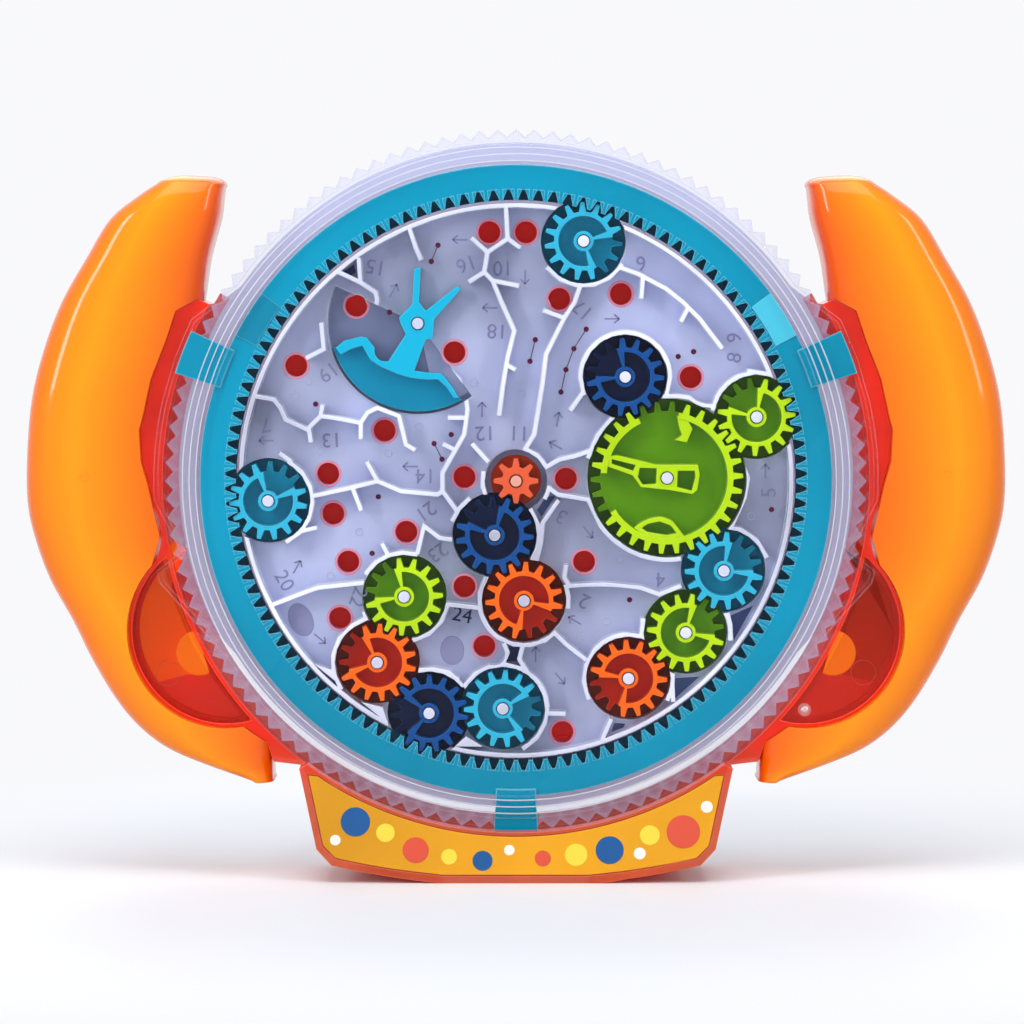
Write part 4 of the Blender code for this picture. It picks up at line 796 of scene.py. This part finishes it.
# A dark ring just behind the teeth is painted shade, which shows in the gaps between them.
GAP_SHADE_RADII = (84.2, 88.0)
GAP_SHADE_FRONT = -5.78
GAP_SHADE_BACK = -5.62
gap_shade = moulded("ring_shade", "1d5a75", "1d5a75", roughness=0.5, edge_highlight_strength=0.0, glow=0.12)
plates("ring_gap_shade", [washer((0.0, 0.0), *GAP_SHADE_RADII, *FULL_TURN, 180)], GAP_SHADE_FRONT, GAP_SHADE_BACK,
       gap_shade, "frame")
RING_TEETH = 120
RING_FACE = -13.2
ROOT_RADIUS = 87.4
CORNER_LOW = 84.7
CORNER_TURN = 1.2
GAP_TURN = 0.95
NOTCH_TURN = 0.22
FILLET_RISE = 0.05
FILLET_SUNK = 0.25


def polar(radius, turn):
    """A point by its distance from the disc's centre and its angle in degrees."""
    return (radius * math.cos(math.radians(turn)), radius * math.sin(math.radians(turn)))


corners = []
for i in range(RING_TEETH):
    for way in (-1.0, 1.0):
        middle = (i + 0.5) * 360.0 / RING_TEETH
        corners.append([
            polar(ROOT_RADIUS, middle + way * NOTCH_TURN), polar(ROOT_RADIUS, middle + way * CORNER_TURN),
            polar(CORNER_LOW, middle + way * CORNER_TURN), polar(CORNER_LOW, middle + way * GAP_TURN),
        ])
plates("ring_tooth_fillets", corners, RING_FACE - FILLET_RISE, RING_FACE + FILLET_SUNK, ring_cyan,
       "frame")
SHOULDER = (87.6, 94.6)
SHOULDER_RISE = 0.3
SHOULDER_SUNK = 0.2
# Two raised sectors of the ring near its upper lugs: the left one's darker colour is painted shade, the
# right one's paler colour painted light, and their edges a painted highlight.
SHOULDER_LIGHT_AND_SHADE = [("left", 143.5, 152.5, "0a86a6"), ("right", 27.5, 36.5, "4cc4de")]
for word, start, end, code in SHOULDER_LIGHT_AND_SHADE:
    shade = moulded("shoulder_" + word, code, "9deaf7", roughness=0.3, edge_highlight_strength=0.8)
    plates("ring_shoulder_" + word, [washer((0.0, 0.0), *SHOULDER, start, end, 12)],
           RING_FACE - SHOULDER_RISE, RING_FACE + SHOULDER_SUNK, shade, "frame")
shaft_plastic = moulded("shaft_pink", "eca894", "f8cfc0", roughness=0.35)
dressed("centre_shaft", shaft_plastic, "frame")

# ---- Cradle ----
# Two shells of see-through red plastic, screwed together from the back.
# Its paler edges are a painted highlight, its glow is a painted glow, and its amber foot is a painted
# glow of the yellow label shining through the red plastic.
cradle_plastic = see_through("cradle_red", "e82604", 0.72, 0.93, edge_highlight_code="ff9c80", edge_highlight_strength=0.85,
                             glow=0.16, coat=0.3, roughness=0.1, tone=0.9, foot_glow_code="b8522a", shine=0.15)
dressed("cradle_front", cradle_plastic, "frame", ease=0.5)
dressed("cradle_rear", cradle_plastic, "frame", ease=0.5)
CRADLE_LIP = (102.9, 106.2)
LIP_TURNS = (-212.0, 32.0)
LIP_FRONT = 12.0
LIP_BACK = 12.2
plates("cradle_lip", [washer((0.0, 0.0), *CRADLE_LIP, *LIP_TURNS, 120)], LIP_FRONT, LIP_BACK,
       cradle_plastic, "frame")

# ---- Covers ----
# The front cover is clear, with fine turned ridges outside the ring gear. The rear one is milky.
COVER_RIDGES = [95.6, 97.6, 99.6]
RIDGE_WIDTH = 0.35
RIDGE_FRONT = -16.05
RIDGE_BACK = -15.5
# The clear cover's white edges are a painted highlight, and the milky cover's glow is a painted glow.
cover_plastic = see_through("cover_clear", "eceefc", 0.003, 0.36, edge_highlight_code="ffffff", edge_highlight_strength=0.8)
rear_plastic = see_through("cover_milky", "cfd3ee", 0.6, 0.9, roughness=0.25, coat=0.0, glow=0.1)
ridge_plastic = see_through("cover_ridge", "f6f7ff", 0.4, 0.7)
dressed("front_cover", cover_plastic, "frame", ease=0.4)
dressed("rear_cover", rear_plastic, "frame", ease=0.4)
ridge_rings = [washer((0.0, 0.0), inner, inner + RIDGE_WIDTH, *FULL_TURN, 180) for inner in COVER_RIDGES]
plates("cover_ridges", ridge_rings, RIDGE_FRONT, RIDGE_BACK, ridge_plastic, "frame")

# ---- Ball pockets ----
# Round red windows with an orange stop and a steel ball behind them, and a small round gate mark.
# The windows' paler edges are a painted highlight, and the stop's glow is a painted glow.
window_plastic = see_through("pocket_red", "c4280e", 0.2, 0.8, edge_highlight_code="ff9c88", edge_highlight_strength=0.9,
                             coat=0.4, tone=0.6, shine=0.15)
stop_plastic = moulded("stop_orange", "ff8a06", "ffc24a", roughness=0.2, glow=0.3)
# The two pocket floors are alike: the left one's glowing orange is painted light, and the right one's
# dark red is painted shade.
POCKET_FLOOR_LIGHT_AND_SHADE = {"left": moulded("pocket_floor_lit_left", "f4640a", "f4640a", edge_highlight_strength=0.0, glow=0.35),
                 "right": moulded("pocket_floor_shaded_right", "b62c0a", "b62c0a", edge_highlight_strength=0.0, glow=0.15)}
POCKET_FLOOR = -5.4
POCKET_MIDDLE = (87.0, -44.7)
pocket_floor = around(POCKET_MIDDLE, 26.6, -38.0, 62.0, 24)
pocket_floor += [(103.0, -18.0), (106.5, -24.0), (104.0, -32.0), (100.5, -40.0), (95.5, -51.0),
                 (92.5, -57.0)]
FLOOR_RISE = 0.25
stop_face = around((95.4, -51.8), 6.8, -117.0, 84.0, 20)
STOP_RISE = 0.15
STOP_SUNK = 0.6
POCKET_MARKS = {"left": (167.5, 674), "right": (864, 673)}
MARK_RIM = (3.55, 3.9)
MARK_RISE = 0.15
for side in ("left", "right"):
    dressed(side + "_pocket_window", window_plastic, "frame", ease=0.5)
    dressed(side + "_pocket_stop", stop_plastic, "frame", ease=0.4)
    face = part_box(side + "_pocket_window")[0][1] / MM
    stop_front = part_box(side + "_pocket_stop")[0][1] / MM
    way = -1.0 if side == "left" else 1.0
    plates(side + "_stop_face", [[(way * x, v) for x, v in stop_face]], stop_front - STOP_RISE,
           stop_front + STOP_SUNK, stop_plastic, "frame")
    plates(side + "_pocket_floor", [[(way * x, v) for x, v in pocket_floor]], POCKET_FLOOR - FLOOR_RISE,
           POCKET_FLOOR + SUNK, POCKET_FLOOR_LIGHT_AND_SHADE[side], "frame")
    plates(side + "_pocket_mark", [washer(on_face(*POCKET_MARKS[side]), *MARK_RIM)],
           face - MARK_RISE, face + SUNK, window_plastic, "frame")
# The ball's glow is a painted glow.
ball_steel = plated_steel("ball_steel", "eceef4", glow=0.3)
dressed("steel_ball", ball_steel, "ball", finer=False)

# ---- Handles ----
# Two glossy orange shells on each side, screwed together from the back. Each is drawn as a run of
# rounded sections, and cut along the cradle that it closes on.
HANDLE_STATIONS = [
    ((108.2, 88.9), (87.7, 87.7), 0.8),
    ((113.2, 85.6), (88.1, 84.6), 0.88),
    ((121.9, 78.5), (88.9, 78.5), 0.96),
    ((129.0, 67.0), (92.0, 67.0), 1.0),
    ((136.7, 53.5), (93.8, 55.0), 1.0),
    ((142.2, 39.0), (96.0, 42.0), 1.0),
    ((145.8, 24.5), (100.0, 26.0), 1.0),
    ((147.3, 8.0), (101.5, 10.0), 1.0),
    ((147.3, -6.0), (101.5, -6.0), 1.0),
    ((145.3, -16.5), (100.0, -18.0), 1.0),
    ((140.7, -29.5), (96.0, -29.0), 1.0),
    ((133.6, -42.5), (91.0, -38.0), 1.0),
    ((128.0, -54.0), (86.0, -47.0), 1.0),
    ((120.9, -66.0), (80.0, -56.0), 0.98),
    ((113.8, -74.5), (76.0, -63.0), 0.95),
    ((105.2, -81.0), (73.6, -70.0), 0.9),
    ((93.5, -86.0), (73.4, -79.0), 0.84),
    ((79.8, -90.6), (73.2, -90.0), 0.74),
]
# Oranges from the handle's inner edge to its outer one, with painted light and shade in them.
HANDLE_LIGHT_AND_SHADE = [(0.0, "e84c00"), (0.14, "f26400"), (0.42, "f67e00"), (0.66, "fa9200"),
                  (0.86, "f08000"), (1.0, "e46600")]
HANDLE_HALF = 18.0
HANDLE_DOWN = 95.0
HANDLE_SPAN = 190.0
SECTION_POWER = 0.52
SECTION_STEPS = 20
STATION_STEPS = 5
SPLIT = 0.15
CAP_STEPS = 5
TOP_CAP = (4.2, 0.72)
FOOT_CAP = (0.9, 0.1)
POCKET_RIM = 29.3
SEAM_GAP = 0.12
cradle_seam = [(73.0, -84.5), (75.0, -78.5)] + around(POCKET_MIDDLE, POCKET_RIM, -100, 42, 30)
cradle_seam += [(106.5, -16.5), (108.5, -8), (110, -1), (112, 6), (112.5, 15.5), (111.5, 19), (109, 30.5),
                (104.5, 42), (101.5, 51), (95.0, 54.5), (91.8, 53.0), (85, 40), (85, -40), (60, -70),
                (64.8, -85.5)]


def grown(points, distance):
    """A closed outline, counterclockwise, with every edge moved outwards."""
    moved = []
    for i, point in enumerate(points):
        here = Vector(point)
        first = (here - Vector(points[i - 1])).normalized()
        second = (Vector(points[(i + 1) % len(points)]) - here).normalized()
        normal = Vector((first.y, -first.x))
        middle = (normal + Vector((second.y, -second.x))).normalized()
        moved.append(tuple(here + middle * distance / max(0.5, middle.dot(normal))))
    return moved


def eased(before, start, end, after, share):
    """A smooth value between start and end, which keeps to their neighbours' slopes."""
    slope_a = (end - before) / 2.0
    slope_b = (after - start) / 2.0
    square = share * share
    cube = square * share
    return ((2 * cube - 3 * square + 1) * start + (cube - 2 * square + share) * slope_a
            + (3 * square - 2 * cube) * end + (cube - square) * slope_b)


def handle_sections():
    """The handle's stations with smooth ones between them, and shrinking ones that round its ends."""
    rows = [outer + inner + (depth,) for outer, inner, depth in HANDLE_STATIONS]
    rows = [rows[0]] + rows + [rows[-1]]
    fine = []
    for i in range(1, len(rows) - 2):
        for k in range(STATION_STEPS):
            fine.append([eased(*four, k / STATION_STEPS) for four in zip(*rows[i - 1:i + 3])])
    fine.append(list(rows[-1]))
    for near, at_start in ((fine[0:2], True), (fine[-1:-3:-1], False)):
        end, inward = near
        cap_length, cap_shrink = TOP_CAP if at_start else FOOT_CAP
        step = [last - before for last, before in zip(end, inward)]
        out = Vector((step[0] + step[2], step[1] + step[3])).normalized()
        cap = []
        for k in range(1, CAP_STEPS + 1):
            turn = math.radians(90.0 * k / CAP_STEPS)
            shrink = 1.0 - cap_shrink * (1.0 - math.cos(turn))
            shift = out * cap_length * math.sin(turn)
            middle = Vector(((end[0] + end[2]) / 2.0, (end[1] + end[3]) / 2.0)) + shift
            reach = Vector(((end[0] - end[2]) / 2.0, (end[1] - end[3]) / 2.0)) * shrink
            cap.append([middle.x + reach.x, middle.y + reach.y, middle.x - reach.x, middle.y - reach.y,
                        end[4] * shrink])
        fine = cap[::-1] + fine if at_start else fine + cap
    return fine


def handle_half(side, sign):
    """One shell's outside: half a rounded section at each station, closed along the split."""
    work = bmesh.new()
    rings = []
    for ox, ov, ix, iv, depth in handle_sections():
        middle = Vector(((ox + ix) / 2.0, (ov + iv) / 2.0))
        reach = Vector(((ox - ix) / 2.0, (ov - iv) / 2.0))
        ring = []
        for i in range(SECTION_STEPS + 1):
            turn = math.pi * i / SECTION_STEPS
            across = math.copysign(abs(math.cos(turn)) ** SECTION_POWER, math.cos(turn))
            high = abs(math.sin(turn)) ** SECTION_POWER if 0 < i < SECTION_STEPS else 0.0
            point = middle + reach * across
            y = sign * (SPLIT + (depth * HANDLE_HALF - SPLIT) * high)
            ring.append(work.verts.new((side * point.x * MM, y * MM, (point.y + AXIS_HEIGHT) * MM)))
        rings.append(ring)
    for first, second in zip(rings, rings[1:]):
        for i in range(len(first)):
            j = (i + 1) % len(first)
            work.faces.new((first[i], first[j], second[j], second[i]))
    work.faces.new(rings[0])
    work.faces.new(rings[-1][::-1])
    bmesh.ops.recalc_face_normals(work, faces=work.faces)
    return work


def cut_from(piece, cutters):
    """Take closed cutters away from a piece, and keep the result as its own mesh."""
    for cutter in cutters:
        step = piece.modifiers.new("cut", "BOOLEAN")
        step.operation = "DIFFERENCE"
        step.solver = "EXACT"
        step.object = cutter
    ready = piece.evaluated_get(bpy.context.evaluated_depsgraph_get())
    mesh = bpy.data.meshes.new_from_object(ready)
    piece.modifiers.clear()
    piece.data = mesh
    for cutter in cutters:
        bpy.data.objects.remove(cutter)


def cutter_of(outline, front, back):
    """A closed block of an outline, for cutting only."""
    return placed("cutter", flat_blocks("cutter", [outline], front, back))


def edge_curve(tree, name, points):
    """A curve node that gives the handle's inner or outer x at each height, both as shares of a span."""
    node = tree.nodes.new("ShaderNodeFloatCurve")
    node.label = name
    track = node.mapping.curves[0].points
    places = sorted(((v + HANDLE_DOWN) / HANDLE_SPAN, x / HANDLE_SPAN) for x, v in points)
    track[0].location = (0.0, places[0][1])
    track[1].location = (1.0, places[-1][1])
    for place in places:
        track.new(*place)
    node.mapping.update()
    return node


def handle_material():
    """Glossy orange, with a painted red glow towards the cradle that shines into it, a painted golden
    highlight past its middle and painted shade at its outer edge.
    """
    material, shader, skin = skinned("handle_orange", {
        "Edge Highlight Colour": colour("ffb63a"), "Edge Highlight Strength": 0.25, "Tone Change": 0.35,
        "Tone Scale": 14.0, "Roughness": 0.18,
    })
    # Its paler edges are a painted highlight.
    fill(shader, {"Specular IOR Level": 0.1, "Coat Weight": 0.4, "Coat Roughness": 0.07})
    tree = material.node_tree
    place = tree.nodes.new("ShaderNodeTexCoord")
    split = tree.nodes.new("ShaderNodeSeparateXYZ")
    outward = maths(tree, "ABSOLUTE")
    out_share = maths(tree, "DIVIDE", HANDLE_SPAN * MM)
    foot = (AXIS_HEIGHT - HANDLE_DOWN) * MM
    height = fill(tree.nodes.new("ShaderNodeMapRange"),
                  {"From Min": foot, "From Max": foot + HANDLE_SPAN * MM})
    inner = edge_curve(tree, "inner edge", [station[1] for station in HANDLE_STATIONS])
    outer = edge_curve(tree, "outer edge", [station[0] for station in HANDLE_STATIONS])
    across = tree.nodes.new("ShaderNodeMapRange")
    ramp = tree.nodes.new("ShaderNodeValToRGB")
    stops = ramp.color_ramp.elements
    for stop, (position, code) in zip(stops, (HANDLE_LIGHT_AND_SHADE[0], HANDLE_LIGHT_AND_SHADE[-1])):
        stop.position = position
        stop.color = colour(code)
    for position, code in HANDLE_LIGHT_AND_SHADE[1:-1]:
        stops.new(position).color = colour(code)
    wire(tree, [
        (place, "Object", split, "Vector"), (split, "X", outward, 0), (outward, "Value", out_share, 0),
        (split, "Z", height, "Value"), (height, "Result", inner, "Value"),
        (height, "Result", outer, "Value"),
        (out_share, "Value", across, "Value"), (inner, "Value", across, "From Min"),
        (outer, "Value", across, "From Max"), (across, "Result", ramp, "Fac"),
        (ramp, "Color", skin, "Colour"), (ramp, "Color", skin, "Recess Shade Colour"),
    ])
    return material


HANDLE_SCREWS = [(121, 52), (126, -34)]
SCREW_HOLE = 3.2
SCREW_SEAT = 14.0
CUT_REACH = 20.0
HANDLE_SHARP = math.radians(40.0)
DIMPLES = {"left": (85.5, 476.5), "right": (945, 472.5)}
DIMPLE = (1.0, 1.5)
DIMPLE_RISE = 0.12
DIMPLE_SUNK = 0.6
handle_plastic = handle_material()
seam_outline = grown(cradle_seam, SEAM_GAP)
for word, side in (("left", -1.0), ("right", 1.0)):
    for shell, sign in (("front", -1.0), ("rear", 1.0)):
        name = word + "_handle_" + shell
        work = handle_half(side, sign)
        mesh = bpy.data.meshes.new(name + "_skin")
        work.to_mesh(mesh)
        work.free()
        piece = placed(name + "_skin", mesh)
        cutters = [cutter_of([(side * x, v) for x, v in seam_outline], -CUT_REACH, CUT_REACH)]
        if shell == "rear":
            cutters += [cutter_of(around((side * x, v), SCREW_HOLE, steps=32), SCREW_SEAT, CUT_REACH)
                        for x, v in HANDLE_SCREWS]
        cut_from(piece, cutters)
        piece.data.shade_smooth()
        piece.data.set_sharp_from_angle(angle=HANDLE_SHARP)
        piece.data.materials.clear()
        piece.data.materials.append(handle_plastic)
        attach(piece, "frame")
        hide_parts(name)
    x, v = on_face(*DIMPLES[word])
    skin_tree = BVHTree.FromObject(bpy.data.objects[word + "_handle_front_skin"],
                                   bpy.context.evaluated_depsgraph_get())
    before = Vector((x, -100.0, v + AXIS_HEIGHT)) * MM
    front = skin_tree.ray_cast(before, Vector((0.0, 1.0, 0.0)))[0].y / MM
    plates(word + "_gate_mark", [washer((x, v), *DIMPLE)], front - DIMPLE_RISE, front + DIMPLE_SUNK,
           handle_plastic, "frame")

# ---- Label ----
# A printed sheet stuck in the recess on the front of the base, with plain coloured dots.
LABEL_DOTS = [
    ("blue", "015192", [((-48, -101.5), 4.4), ((28, -110.0), 4.2), ((-10, -113.2), 3.0)]),
    ("red", "d94d31", [((-30, -110.0), 3.9), ((50, -104.5), 5.0), ((8, -112.5), 2.4)]),
    ("yellow", "f2d33a", [((-39, -104.8), 2.8), ((18, -111.4), 3.4), ((-20, -112), 2.4),
                          ((40, -105.5), 3.0)]),
    ("white", "f7efe0", [((-2, -110.0), 1.6), ((37, -111), 1.8), ((-54, -107.0), 1.6), ((57, -97), 1.8)]),
]
DOT_PRINT = 0.05
label_print = moulded("label_print", "dc9804", "f0b840", roughness=0.2, coat=0.4, tone=0.9,
                      tone_scale=12.0)
dressed("label_panel", label_print, "frame")
label_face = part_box("label_panel")[0][1] / MM
for word, code, dots in LABEL_DOTS:
    dot_ink = moulded("label_" + word, code, code, roughness=0.2, edge_highlight_strength=0.0, coat=0.6)
    plates("label_dots_" + word, [around(place, radius, steps=40) for place, radius in dots],
           label_face - DOT_PRINT, label_face + SUNK, dot_ink, "frame")
